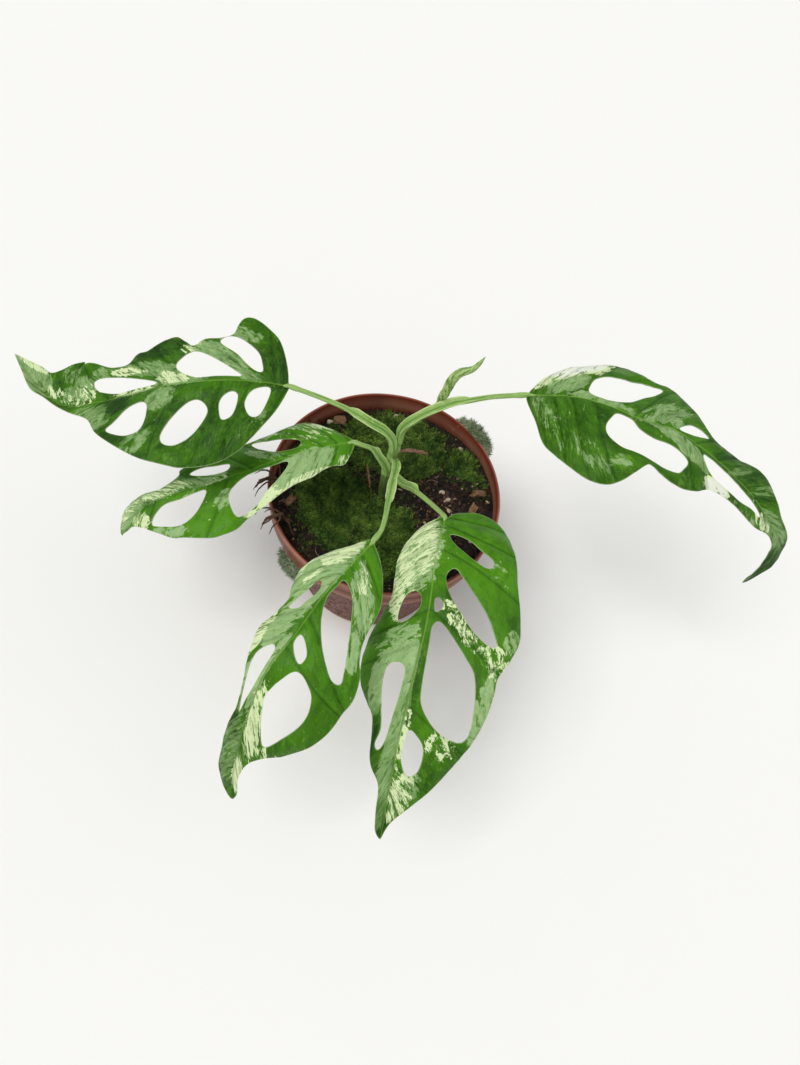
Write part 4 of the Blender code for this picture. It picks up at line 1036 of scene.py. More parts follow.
def specks_group():
    """Small scattered specks, as a mask: cells picked by their own colour, cut to ragged dots."""
    nodes, given, out = new_group(
        "Specks",
        [
            ("Vector", VECTOR, None), ("Scale", FLOAT, 0.5), ("Share", FLOAT, 0.2),
            ("Radius", FLOAT, 0.3), ("Ragged", FLOAT, 0.4),
        ],
        [("Mask", FLOAT)],
    )
    ragged = nodes.noise(given["Vector"], nodes.times(given["Scale"], 3.0))
    cells = nodes.add("ShaderNodeTexVoronoi", {"Vector": given["Vector"], "Scale": given["Scale"]})
    picked = nodes.add("ShaderNodeSeparateColor", {0: cells.outputs["Color"]}).outputs[0]
    chosen = nodes.maths("LESS_THAN", picked, given["Share"])
    wobble = nodes.maths("SUBTRACT", ragged, 0.5)
    reach = nodes.times_plus(wobble, given["Ragged"], cells.outputs["Distance"])
    dot = nodes.ramp(reach, nodes.times(given["Radius"], 0.7), given["Radius"], 1.0, 0.0)
    nodes.feed(out["Mask"], nodes.times(dot, chosen))


GROUPS = {"Marbling": marbling_group, "Mottle": mottle_group, "Specks": specks_group}


class Finish(Nodes):
    """A material, by its nodes and the inputs of its Principled shader."""

    def __init__(self, name, specular=0.3):
        self.material = bpy.data.materials.new(name)
        self.material.use_nodes = True
        super().__init__(self.material.node_tree)
        self.shader = self.tree.nodes["Principled BSDF"].inputs
        self.shader["Specular IOR Level"].default_value = specular

    def finished(self, base, roughness, height=None, distance=0.0, strength=1.0):
        """Feeds the shader, with a bump of a height in millimetres times distance."""
        self.feed(self.shader["Base Color"], base)
        self.feed(self.shader["Roughness"], roughness)
        if height is not None:
            inputs = {"Height": height, "Distance": distance * MM, "Strength": strength}
            self.feed(self.shader["Normal"], self.add("ShaderNodeBump", inputs).outputs[0])
        return self.material


def blade_finish(settings):
    """Satin green with silver and cream marbling along the veins, and a paler matt underside."""
    nodes = Finish("blade_green_marbled", 0.13)
    flow = nodes.vector("flow")
    patch = nodes.parts(nodes.vector("patch"))
    under = nodes.value("under")
    silver = nodes.streaks(flow, patch[0], 0.3, 0.14)
    cream = nodes.streaks(flow, patch[1], 0.46, 0.24, 7.3)
    busy = nodes.times_plus(nodes.most(patch[0], patch[1]), 0.3, 0.1)
    busy = nodes.times_plus(patch[2], 0.2, busy)
    fleck = nodes.streaks(flow, busy, 0.9, 0.26, 3.1, 0.12)
    dark_fleck = nodes.streaks(flow, 0.27, 0.42, 0.2, 12.7, 0.05)
    tone = nodes.times_plus(nodes.noise(flow, 0.16, 5.0, 0.65), 1.5, -0.5)
    tone = nodes.times_plus(patch[2], 0.45, tone, clamp=True)
    green = nodes.mix(tone, settings.bright, settings.deep)
    calm = nodes.times_plus(patch[2], -0.22, 0.4, clamp=True)
    green = nodes.tinted(fleck, calm, green, settings.fleck)
    green = nodes.tinted(dark_fleck, 0.25, green, settings.deep)
    dull = nodes.times_plus(patch[2], 0.7, 0.0, clamp=True)
    cloudy = nodes.ramp(nodes.noise(flow, 0.55, 4.0, 0.6), 0.35, 0.68)
    dull = nodes.times_plus(cloudy, 0.3, dull)
    dull = nodes.times_plus(fleck, -0.3, dull, clamp=True)
    shown = nodes.tinted(silver, 0.93, green, nodes.mix(dull, settings.silver, settings.underside))
    white = nodes.mix(nodes.ramp(patch[1], 0.7, 0.95), settings.cream, linear("#f1f5e6"))
    shown = nodes.tinted(cream, 0.9, shown, white)
    marbled = nodes.most(silver, cream)
    shown = nodes.tinted(nodes.times(marbled, dark_fleck), 0.75, shown, green)
    # Painted shade: the side veins' grooves are darkened towards deep green, less over the
    # marbling.
    groove = nodes.ramp(nodes.value("vein"), 0.2, 1.0, 0.42, 0.0)
    shown = nodes.tinted(groove, nodes.times_plus(marbled, -0.5, 1.0), shown, settings.deep)
    shown = nodes.mix(nodes.ramp(nodes.value("rib"), 0.15, 0.7, 0.6, 0.0), shown, settings.midrib)
    shown = nodes.mix(nodes.ramp(nodes.value("edge"), 0.05, 0.45, 0.28, 0.0), shown, settings.cream)
    below = nodes.mix(0.62, shown, settings.underside)
    gloss = nodes.times_plus(nodes.noise(flow, 0.5, 2.0), 0.16, 0.34)
    gloss = nodes.times_plus(under, 0.25, gloss)
    cells = nodes.add(
        "ShaderNodeTexVoronoi", {"Vector": flow, "Scale": 0.8}, feature="DISTANCE_TO_EDGE"
    )
    net = nodes.ramp(cells.outputs["Distance"], 0.0, 0.16)
    relief = nodes.times_plus(net, 0.25, nodes.noise(flow, 0.35))
    return nodes.finished(nodes.mix(under, shown, below), gloss, relief, 0.3, 0.8)


def stalk_finish(settings):
    """Pale green stalks with lengthwise stripes, paler wing edges and darker grooves."""
    nodes = Finish("stalk_green_striped")
    flow = nodes.vector("flow")
    stripes = nodes.streaks(flow, 0.62, 1.3, 0.05, 1.7, 0.18)
    flecks = nodes.streaks(flow, 0.3, 1.2, 0.35, 5.2, 0.1)
    shown = nodes.tinted(stripes, 0.36, settings.green, settings.pale)
    shown = nodes.tinted(flecks, 0.4, shown, settings.pale)
    shown = nodes.tinted(nodes.value("groove"), 0.9, shown, settings.shadow)
    shown = nodes.mix(nodes.ramp(nodes.value("wing"), 0.35, 0.95, 0.0, 0.9), shown, settings.pale)
    shown = nodes.tinted(nodes.value("age"), 0.8, shown, settings.olive)
    ridges = nodes.times_plus(stripes, 0.5, nodes.noise(flow, 1.4))
    return nodes.finished(shown, nodes.times_plus(stripes, 0.1, 0.36), ridges, 0.16)


def new_leaf_finish(blades, stalks):
    """The rolled leaf: pale green, flecked lengthwise with dark and cream."""
    nodes = Finish("new_leaf_flecked")
    flow = nodes.vector("flow")
    dark = nodes.streaks(flow, 0.48, 0.7, 0.22, 2.2, 0.1)
    pale = nodes.streaks(flow, 0.5, 0.9, 0.3, 9.4, 0.1)
    shown = nodes.tinted(dark, 0.55, stalks.green, blades.deep)
    shown = nodes.tinted(pale, 0.55, shown, stalks.pale)
    # Painted shade: the seam under the rolled leaf's edge is darkened towards deep green.
    shown = nodes.tinted(nodes.value("groove"), 0.6, shown, blades.deep)
    roughness = nodes.times_plus(dark, 0.1, 0.34)
    return nodes.finished(shown, roughness, nodes.noise(flow, 1.2, 4.0), 0.2)


def root_finish(settings):
    """Corky brown roots, paler where the bark has worn. Dead roots are darker."""
    nodes = Finish("root_brown_corky")
    dark = linear("#3d281c")
    mottle = nodes.group(
        "Mottle", nodes.places(), 0.55, 2.6, settings.root, linear("#b08a72"), dark, 0.48, 0.42
    )
    shown = nodes.mix(nodes.value("tone"), mottle["Color"], dark)
    roughness = nodes.times_plus(mottle["Height"], 0.3, 0.6)
    return nodes.finished(shown, roughness, mottle["Height"], 0.5)


def pot_finish(settings):
    """Thin terracotta-coloured plastic: a pale outside that is part dust and part painted sheen, an
    inside darkened with painted shade, and dried soil near the soil inside.
    """
    nodes = Finish("pot_plastic_dusty_sheen_shaded")
    place = nodes.places()
    outer = nodes.value("outer")
    dark = tuple(v * 0.45 for v in settings.plastic)
    bright = tuple(min(1.0, v * 1.35) for v in settings.plastic)
    plastic = nodes.group("Mottle", place, 0.06, 0.9, settings.plastic, dark, bright, 0.42, 0.3)
    # Painted shade: the whole inside of the pot is mixed most of the way to the dark plastic tone.
    shown = nodes.mix(outer, nodes.mix(0.72, plastic["Color"], dark), plastic["Color"])
    # Dust and painted sheen: a pale film over the outside of the pot only.
    dust_and_sheen_film = nodes.ramp(nodes.noise(place, 0.07, 3.0, 0.5), 0.25, 0.7, 0.45, 0.8)
    shown = nodes.tinted(dust_and_sheen_film, nodes.times(outer, 0.75), shown, settings.dust_and_sheen)
    small = nodes.specks(place, 0.75, 0.2, 0.32, 0.5)
    large = nodes.specks(place, 0.22, 0.16, 0.36, 0.8)
    gathered = nodes.ramp(nodes.noise(place, 0.045, 2.0), 0.52, 0.68, 0.0, 0.85)
    near_soil = nodes.ramp(nodes.value("height"), SOIL_TOP - 1, SOIL_TOP + 6, 1.0, 0.0)
    near_soil = nodes.times(near_soil, nodes.maths("SUBTRACT", 1.0, outer))
    dirty = nodes.times(nodes.most(small, large), nodes.most(gathered, near_soil))
    smear = nodes.ramp(nodes.noise(place, 0.5, 4.0, 0.7), 0.5, 0.62)
    dirty = nodes.most(dirty, nodes.times(smear, near_soil))
    shown = nodes.tinted(dirty, 0.85, shown, settings.dirt)
    gloss = nodes.most(nodes.times_plus(dust_and_sheen_film, 0.22, 0.32), nodes.times(dirty, 0.9))
    relief = nodes.times_plus(nodes.noise(place, 2.2), 0.25, dirty)
    return nodes.finished(shown, gloss, relief, 0.2)


def soil_finish(settings):
    """Crumbly dark soil: each crumb has a tone of its own."""
    nodes = Finish("potting_soil_damp", 0.35)
    tone = nodes.value("tone")
    place = nodes.places()
    black = tuple(v * 0.35 for v in settings.soil)
    rusty = linear("#55301f")
    mottle = nodes.group("Mottle", place, 0.35, 2.4, settings.soil, rusty, black, 0.4, 0.5)
    shown = nodes.mix(nodes.ramp(tone, 0.35, 0.8), mottle["Color"], settings.crumb)
    shown = nodes.mix(nodes.ramp(tone, 0.84, 0.97), shown, linear("#c2ae90"))
    specks = nodes.specks(place, 1.1, 0.08, 0.3, 0.5)
    shown = nodes.tinted(specks, 0.55, shown, linear("#a08468"))
    damp = nodes.ramp(nodes.noise(place, 0.12), 0.35, 0.65, 0.55, 0.95)
    return nodes.finished(shown, damp, mottle["Height"], 0.9)


def moss_finish(name, deep, bright):
    """Moss leaflets that brighten towards their tips, with a few brown shoots."""
    nodes = Finish(name)
    tip = nodes.value("tip")
    tone = nodes.value("tone")
    patchy = nodes.ramp(nodes.noise(nodes.places(), 0.14), 0.3, 0.7, 0.0, 0.55)
    # The leaflets darken towards their feet: partly the moss's own older green, partly painted
    # shade inside the cushion.
    rise = nodes.times(nodes.times_plus(tip, 0.7, 0.3), nodes.times_plus(tone, 0.75, patchy))
    shown = nodes.mix(nodes.ramp(rise, 0.08, 1.0), deep, bright)
    shown = nodes.tinted(nodes.ramp(tone, 0.93, 1.0), 0.7, shown, linear("#6a5a2c"))
    roughness = nodes.ramp(tip, 0.0, 1.0, 0.9, 0.65)
    return nodes.finished(shown, roughness, nodes.noise(nodes.places(), 1.5), 0.3)


def grain_finish(name, main, second, third, scale, rough):
    """Bark and perlite: three tones by two sizes of noise, with a rough bumpy surface."""
    nodes = Finish(name)
    stretch = {0: nodes.places(), 1: (1.0, 1.0, 2.5)}
    place = nodes.add("ShaderNodeVectorMath", stretch, operation="MULTIPLY").outputs[0]
    second, third = linear(second), linear(third)
    mottle = nodes.group("Mottle", place, scale, scale * 5, main, second, third, 0.5, 0.42)
    roughness = nodes.times_plus(mottle["Height"], 0.2, rough - 0.1)
    return nodes.finished(mottle["Color"], roughness, mottle["Height"], 0.6)


def stage_finish(settings):
    """Pale floor with the faintest clouding."""
    nodes = Finish("stage_pale", 0.2)
    soft = nodes.ramp(nodes.noise(nodes.places(), 0.01), 0.3, 0.7, 0.0, 0.04)
    grey = tuple(v * 0.9 for v in settings.floor)
    return nodes.finished(nodes.mix(soft, settings.floor, grey), 0.9)


def add_blade(name, settings, finish, seed):
    """One open blade: quilted between its side veins, grooved along them, ribbed below."""
    blade = BLADES[name]
    points, triangles, loops = flat_sheet(blade["outline"], blade["holes"], settings.spacing / MM)
    s, t = points.T
    surface = BladeSurface(blade)
    edge = distance_to(points, loops)
    reach = np.abs(t)
    order, away = vein_places(s, t, VEINS[name])
    rib = reach / np.interp(s, [0, surface.length * 0.5, surface.length], [1.0, 0.75, 0.4])
    inner = np.clip(edge / MARGIN_FADE, 0, 1)
    ends = np.clip(np.minimum(s + 6, surface.length - s) / 12, 0, 1)
    dome = np.sin(np.pi * (order % 1)) ** 0.8
    shallow = np.clip(edge / 2, 0, 1)
    relief = settings.quilting / MM * dome * inner * ends * np.clip(reach / 5, 0, 1)
    relief -= settings.groove / MM * bell(away, 0.8) * shallow
    relief -= RIB_GROOVE * bell(rib, 1)
    relief += 0.35 * smooth_noise(points, 7.0, seed) * (0.4 + 0.6 * (1 - inner))
    relief += 0.12 * smooth_noise(points, 2.6, seed + 1)
    relief += 0.45 * smooth_noise(points, 15.0, seed + 7)
    thick = settings.margin + (settings.thickness - settings.margin) * np.clip(edge, 0, 1)
    thick = thick / MM
    keel = RIB_KEEL * np.exp(-(rib**2) / 1.4) * np.clip(1.1 - s / surface.length, 0.15, 1)
    keel += 0.3 * bell(away, 0.7) * shallow
    middle = surface.at(s, t)
    normal = surface.normal(s, t)
    upper = middle + normal * (relief + thick / 2)[:, None]
    lower = middle + normal * (relief - thick / 2 - keel)[:, None]
    piece = Piece()
    piece.add(
        np.vstack([upper, lower]),
        both_sides(triangles, len(s)),
        edge=np.tile(edge, 2),
        vein=np.tile(away, 2),
        rib=np.tile(rib, 2),
        under=np.repeat([0.0, 1.0], len(s)),
        flow=np.tile(grid_of(order * 14, t, seed * 3.7), (2, 1)),
        patch=np.tile(soft_patches(s, t, MARBLING[name]), (2, 1)),
    )
    piece.build("blade_" + name, finish, ["leaf_" + name], sharp=65)


def stalk_section(share, sheath_end, settings):
    """Angles and radii round a stalk for each point along it, with its wings and its groove."""
    angles = np.radians(np.concatenate([
        np.arange(-90, 20, 15), np.arange(20, 60, 4.5), np.arange(60, 120, 8),
        np.arange(120, 164, 4.5), np.arange(165, 270, 15),
    ]))
    radius = settings.stalk / MM * (1.12 - 0.24 * np.clip(share, 0, 1))
    stations = [0, sheath_end * 0.5, sheath_end, sheath_end + 0.08, 1]
    swell = np.interp(share, stations, [1.25, 1.2, 1.1, 1, 1])
    knee = 0.22 * bell(share - 0.965, 0.03)
    radius = radius * (swell + knee) * np.interp(share, [1, END_SHARE], [1, 0.2])
    rise = np.interp(share, [0, 0.08, 0.3 * sheath_end, 0.75 * sheath_end], [0, 0.35, 0.75, 1.0])
    rise = rise * np.clip((sheath_end - share) / 0.05, 0, 1) ** 0.6
    turned = np.degrees(angles)[None, :] - 90
    wing = bell(turned + WING_TURN, WING_WIDTH) + bell(turned - WING_TURN, WING_WIDTH)
    wing = wing * rise[:, None]
    groove = bell(turned, GROOVE_WIDTH)
    stations = [0, sheath_end, sheath_end + 0.1, 1]
    depth = np.interp(share, stations, [GROOVE_DEPTH, 0.3, 0.14, 0.1])
    ridged = 0.025 * np.cos(9 * angles)[None, :]
    radii = radius[:, None] * (1 - depth[:, None] * groove + ridged)
    radii = radii + settings.sheath / MM * wing
    return angles, radii, wing, groove * (depth[:, None] / GROOVE_DEPTH)


def add_stalk(name, settings, finish, seed):
    """One stalk with the open groove and the two papery wings of its sheath."""
    stalk = STALKS[name]
    surface = BladeSurface(BLADES[name])
    free = len(even_line(stalk["path"], STALK_STEP))
    hidden = np.array([0.5, 3.0, 6.5, 10.0])
    under = surface.at(hidden, 0 * hidden)
    under = under - surface.normal(hidden, 0 * hidden) * np.array([[0.35], [0.9], [1.1], [1.2]])
    line = even_line([*stalk["path"], *under], STALK_STEP)
    line = line + 0.12 * wander(line, 9.0, seed)
    share = np.arange(len(line)) / free
    beyond = 1 + (share - 1) * (END_SHARE - 1) / max(share[-1] - 1, 0.01)
    share = np.where(share > 1, beyond, share)
    angles, radii, wing, groove = stalk_section(share, stalk["sheath"], settings)
    flutter = 1 + 0.16 * smooth_noise(grid_of(share * 60, 0.0), 4.0, seed)
    radii = radii * np.where(wing > 0.3, flutter[:, None], 1)
    reach = np.linspace(0, len(line) * STALK_STEP, len(line))
    flow = grid_of(angles[None, :] * 1.5, reach[:, None], float(seed))
    piece = Piece()
    swept(
        piece, line[::-1], stalk["top"], angles, radii[::-1], flow=flow[::-1],
        wing=np.clip(wing[::-1], 0, 1), groove=np.clip(groove[::-1], 0, 1), age=[[0.0]],
    )
    piece.build("stalk_" + name, finish, ["petiole_" + name], sharp=50)


def add_stem(settings, finish):
    """The main stem, with a raised ring where each stalk leaves it."""
    line = even_line(STEM_PATH, 0.6)
    height = line[:, 2:3]
    angles = around(40)
    radius = settings.stem / MM * (1.05 - 0.12 * np.linspace(0, 1, len(line)))[:, None]
    for stalk in STALKS.values():
        above = height - stalk["path"][0][2]
        radius += 0.35 * bell(above, 1.3)
        radius -= 0.12 * bell(above - 2.6, 0.8)
    places = grid_of(height, 3 * np.cos(angles)).reshape(-1, 2)
    uneven = smooth_noise(places, 2.2, 5).reshape(len(line), -1)
    radii = radius * (1 + 0.03 * np.cos(7 * angles)[None, :] + 0.035 * uneven)
    piece = Piece()
    swept(
        piece, line, (0, -1, 0), angles, radii, flow=grid_of(angles[None, :] * 2.1, height, 21.0),
        wing=[[0.0]], groove=0.35 * np.clip(-np.cos(7 * angles), 0, 1)[None, :],
        age=np.clip((104 - height) / 22, 0, 1),
    )
    piece.build("stem", finish, ["main_stem"], sharp=60)


def add_new_leaf(finish):
    """The new leaf, still rolled into a spear: a spiral section that twists towards its tip."""
    line = even_line(NEW_LEAF_PATH, 0.45)
    line = line + 0.3 * wander(line, 6.0, 40)
    share = np.linspace(0, 1, len(line))[:, None]
    angles = around(36)
    stations, widths = [0, 0.12, 0.3, 0.5, 0.75, 0.92, 1], [0.9, 1.2, 2.1, 2.3, 1.6, 0.8, 0.15]
    spiral = (angles[None, :] / (2 * np.pi) + share * 1.3) % 1
    lip = np.clip((spiral - 0.9) / 0.1, 0, 1)
    radii = np.interp(share, stations, widths) * (0.86 + 0.24 * spiral * (1 - lip))
    places = grid_of(spiral * 6, share * 30).reshape(-1, 2)
    radii = radii * (1 + 0.05 * smooth_noise(places, 1.6, 8).reshape(radii.shape))
    flow = grid_of(spiral * 9, np.linspace(0, len(line) * 0.45, len(line))[:, None], 31.0)
    piece = Piece()
    swept(piece, line, (0, -0.4, 1), angles, radii, flow=flow, groove=lip)
    piece.build("rolled_leaf", finish, ["new_leaf"], sharp=50)


def knobbly_tube(piece, path, widths, step, seed, sides=14, tone=0.0):
    """A root: a tube of uneven width with swellings and shallow rings."""
    line = even_line(path, step)
    share = np.linspace(0, 1, len(line))
    line = line + 0.25 * wander(line, 2.4, seed)
    angles = around(sides)
    width = np.interp(share, np.linspace(0, 1, len(widths)), widths)
    width = width * (1 + 0.12 * np.sin(share * len(line) * 1.7 + seed))
    places = grid_of(share[:, None] * len(line) * step, 2 * np.cos(angles)[None, :])
    uneven = smooth_noise(places.reshape(-1, 2), 0.9, seed).reshape(len(line), sides)
    top = (0.3, 0.2, 1) if abs(line[-1, 2] - line[0, 2]) < 20 else (0, -1, 0)
    swept(piece, line, top, angles, width[:, None] * (1 + 0.22 * uneven), tone=[[tone]])


def add_roots(finish):
    """The aerial root, and the two dead roots with their rootlets."""
    piece = Piece()
    knobbly_tube(piece, AERIAL_ROOT_PATH, [0.8, 0.85, 0.95, 0.85, 1.0, 0.35], 0.35, 50, 22)
    piece.build("aerial_root_brown", finish, ["aerial_root"], sharp=60)
    for i, (name, (path, *rootlets)) in enumerate(DEAD_ROOTS.items()):
        piece = Piece()
        knobbly_tube(piece, path, [1.0, 0.95, 1.1, 0.8, 0.35], 0.4, 60 + i, tone=0.75)
        for j, rootlet in enumerate(rootlets):
            knobbly_tube(piece, rootlet, [0.5, 0.45, 0.35, 0.15], 0.35, 70 + 9 * i + j, 9, 0.7)
        piece.build(name + "_dry", finish, [name], sharp=60)


def wall_radius(height):
    """The outside radius of the pot's wall or collar at a height."""
    if height >= COLLAR_FOOT:
        return COLLAR_RADIUS
    return BASE_RADIUS + (COLLAR_RADIUS - COLLAR_STEP - BASE_RADIUS) * height / COLLAR_FOOT


def rounded(profile, size):
    """The profile with each corner cut back into three points."""
    given = np.array(profile, float)
    found = [given[0]]
    for before, corner, after in zip(given, given[1:], given[2:]):
        back, on = np.linalg.norm(corner - before), np.linalg.norm(after - corner)
        near = min(size, back * 0.4, on * 0.4)
        a = corner + (before - corner) / back * near
        c = corner + (after - corner) / on * near
        found += [a, (a + 2 * corner + c) / 4, c]
    return np.array([*found, given[-1]])


def add_pot(settings, finish):
    """The thin turned pot: rolled lip, collar, tapered wall, ringed foot and drain holes."""
    wall = settings.wall / MM
    inside_radius = COLLAR_RADIUS - wall
    below = COLLAR_FOOT - COLLAR_FLARE
    outer = [
        (0, 0), (CHANNEL_INNER, 0), (CHANNEL_INNER + CHANNEL_DRAFT, FOOT_LIFT),
        (CHANNEL_OUTER - CHANNEL_DRAFT, FOOT_LIFT), (CHANNEL_OUTER, 0), (BASE_RADIUS - 0.8, 0),
        (BASE_RADIUS, 0.8), (wall_radius(below), below), (COLLAR_RADIUS, COLLAR_FOOT),
        (COLLAR_RADIUS, POT_HEIGHT - LIP_HEIGHT - 0.4), (RIM_RADIUS, POT_HEIGHT - LIP_HEIGHT),
        (RIM_RADIUS, POT_HEIGHT - 0.1),
    ]
    inner = [
        (inside_radius, POT_HEIGHT), (inside_radius - 0.4, COLLAR_FOOT + wall),
        (wall_radius(COLLAR_FOOT - wall) - wall, COLLAR_FOOT - wall),
        (BASE_RADIUS - wall + 0.8, FOOT_LIFT + FLOOR),
        (CHANNEL_INNER + CHANNEL_DRAFT, FOOT_LIFT + FLOOR),
        (CHANNEL_INNER - CHANNEL_DRAFT, FLOOR), (0, FLOOR),
    ]
    profile = rounded(outer + inner, 0.45)
    last_outer = 3 * len(outer) - 3
    tall = [profile[0]]
    for low, high in zip(profile, profile[1:]):
        count = max(1, round(abs(high[1] - low[1]) / 6))
        tall += [low + (high - low) * (k + 1) / count for k in range(count)]
    rows = np.array(tall)[1:-1]
    nearest = [np.argmin(np.linalg.norm(profile - point, axis=1)) for point in rows]
    marks = np.array(nearest) <= last_outer
    turns = around(settings.segments)
    lean = np.clip(rows[:, 1:] / POT_HEIGHT, 0, 1) ** 2
    wave = 0.22 * np.cos(2 * turns + 0.6) + 0.12 * np.cos(3 * turns + 2) + 0.05 * np.cos(9 * turns)
    radii = rows[:, :1] + wave[None, :] * lean - 0.15 * lean
    heights = rows[:, 1:] - 0.12 * lean * (1 + np.cos(3 * turns + 1))[None, :]
    points = np.concatenate([circle(turns) * radii[:, :, None], heights[:, :, None]], axis=-1)
    points = np.vstack([points.reshape(-1, 3), [(0, 0, 0), (0, 0, FLOOR)]])
    piece = Piece()
    piece.add(
        points, tube_faces(len(rows), len(turns)),
        outer=np.concatenate([np.repeat(marks, len(turns)), [1.0, 0.0]]), height=points[:, 2],
    )
    cut_drain_holes(piece.build("pot_shell", finish, ["pot"], sharp=42))


def cut_drain_holes(pot):
    """Cuts the ring of drain holes through the floor of the pot."""
    ring = (CHANNEL_INNER + CHANNEL_OUTER) / 2 * MM
    cutters = bmesh.new()
    for i in range(DRAIN_HOLES):
        turn = 2 * math.pi * (i + 0.5) / DRAIN_HOLES
        spot = Vector((ring * math.cos(turn), ring * math.sin(turn), 3 * MM))
        bmesh.ops.create_cone(
            cutters, cap_ends=True, segments=28, radius1=DRAIN_RADIUS * MM,
            radius2=DRAIN_RADIUS * MM, depth=8 * MM, matrix=Matrix.Translation(spot),
        )
    data = bpy.data.meshes.new("drain_cutters")
    cutters.to_mesh(data)
    cutters.free()
    cutter = bpy.data.objects.new("drain_cutters", data)
    bpy.context.scene.collection.objects.link(cutter)
    holes = pot.modifiers.new("Drain holes", "BOOLEAN")
    holes.operation = "DIFFERENCE"
    holes.solver = "EXACT"
    holes.object = cutter
    graph = bpy.context.evaluated_depsgraph_get()
    pot.data = bpy.data.meshes.new_from_object(pot.evaluated_get(graph))
    pot.modifiers.clear()
    bpy.data.objects.remove(cutter, do_unlink=True)


def soil_height(points):
    """The height of the soil's uneven surface over flat points."""
    lumps = 0.5 * smooth_noise(points, 11.0, 2) + 0.32 * smooth_noise(points, 4.5, 3)
    lumps += 0.2 * np.abs(smooth_noise(points, 1.9, 4)) + 0.12 * smooth_noise(points, 1.0, 6)
    lumps *= bpy.context.scene.monstera_ground.lumps / MM * 1.5
    reach = np.linalg.norm(points, axis=1)
    turn = np.arctan2(points[:, 1], points[:, 0])
    banked = bell(turn - 0.35, 0.75) * np.clip((reach - 36) / 20, 0, 1) ** 1.5
    return SOIL_TOP - 0.4 + lumps + 4.5 * banked - 0.9 * np.clip((reach - 52) / 5, 0, 1)


def on_soil(points, lift=0.0):
    """The flat points, raised to the soil's surface and by the lift."""
    return np.column_stack([points, soil_height(points) + lift])


def add_soil(finish):
    """The soil: a lumpy surface over a plain body that fills the pot."""
    ring = circle(around(SOIL_SEGMENTS))
    radii = np.linspace(0, SOIL_RADIUS, SOIL_RINGS + 1)[1:]
    top = on_soil((radii[:, None, None] * ring).reshape(-1, 2))
    body = [
        (SOIL_RADIUS - 0.4, COLLAR_FOOT + 0.9),
        (wall_radius(COLLAR_FOOT - 2) - 1.8, COLLAR_FOOT - 2),
        (BASE_RADIUS - 0.8, FOOT_LIFT + FLOOR + 0.3),
        (CHANNEL_INNER + 0.9, FOOT_LIFT + FLOOR + 0.3),
        (CHANNEL_INNER - 1.6, FLOOR + 0.3),
    ]
    lower = [
        np.column_stack([ring * radius, np.full(SOIL_SEGMENTS, height)]) for radius, height in body
    ]
    points = np.vstack([top, *lower, [(0, 0, SOIL_TOP), (0, 0, FLOOR + 0.3)]])
    faces = [face[:1] + face[:0:-1] for face in tube_faces(SOIL_RINGS + len(body), SOIL_SEGMENTS)]
    piece = Piece()
    piece.add(points, faces, tone=0.25 + 0.25 * smooth_noise(points[:, :2], 3.0, 9))
    piece.build("soil_body", finish, ["soil"], sharp=70)


def primitive(make, cuts=0, **settings):
    """The points and faces of one of Blender's own plain shapes, cut finer if asked."""
    built = bmesh.new()
    make(built, **settings)
    if cuts:
        bmesh.ops.subdivide_edges(built, edges=built.edges, cuts=cuts, use_grid_fill=True)
    points = np.array([tuple(v.co) for v in built.verts])
    faces = [[v.index for v in face.verts] for face in built.faces]
    built.free()
    return points, faces


def turned_about(points, turns):
    """Each row's points turned about the upright axis by its own angle."""
    cos, sin = np.cos(turns)[:, None], np.sin(turns)[:, None]
    x, y, z = points[..., 0], points[..., 1], points[..., 2]
    return np.stack([x * cos - y * sin, x * sin + y * cos, z], axis=-1)


def scattered(random, count, radius):
    reach = radius * np.sqrt(random.random(count))
    return reach[:, None] * circle(random.random(count) * 2 * np.pi)


# How far a crumb is stretched in each direction: the least, and the most beyond that.
CRUMB_STRETCH = ((0.8, 0.9), (0.6, 0.5), (0.5, 0.4))


def add_crumbs(settings, finish, random):
    """Loose crumbs and dry fibres on the soil, with more crumbs in the bare patch on the right."""
    count = settings.crumbs
    shape, faces = primitive(bmesh.ops.create_icosphere, subdivisions=1, radius=1.0)
    spots = scattered(random, count, SOIL_RADIUS - 1.2)
    size = 0.32 + 0.9 * random.random(count) ** 3
    chips = random.normal(LITTER_PLACE, [9, 11], (count // 4, 2))
    chips = chips[np.linalg.norm(chips, axis=1) < LOOSE_RADIUS]
    spots[: len(chips)] = chips
    size[: len(chips)] *= 1.25
    stretch = [low + spread * random.random(count) for low, spread in CRUMB_STRETCH]
    stretch = np.stack(stretch, axis=1)
    rough = 1 + 0.35 * (random.random((count, len(shape))) - 0.5)
    lumps = shape[None] * rough[:, :, None] * stretch[:, None, :] * size[:, None, None]
    lumps = turned_about(lumps, random.random(count) * SPIN)
    lumps = lumps + on_soil(spots, 0.25 * size)[:, None, :]
    litter = bell(spots - np.array(LITTER_PLACE), [20, 18]).prod(axis=1)
    tone = np.repeat(np.clip(random.random(count) ** (2.6 - 1.6 * litter), 0, 1), len(shape))
    piece = Piece()
    every = np.arange(count)[:, None, None] * len(shape) + np.array(faces)
    piece.add(lumps.reshape(-1, 3), every.reshape(-1, 3).tolist(), tone=tone)
    for _ in range(settings.fibres):
        add_fibre(piece, random)
    piece.build("soil_crumbs", finish)


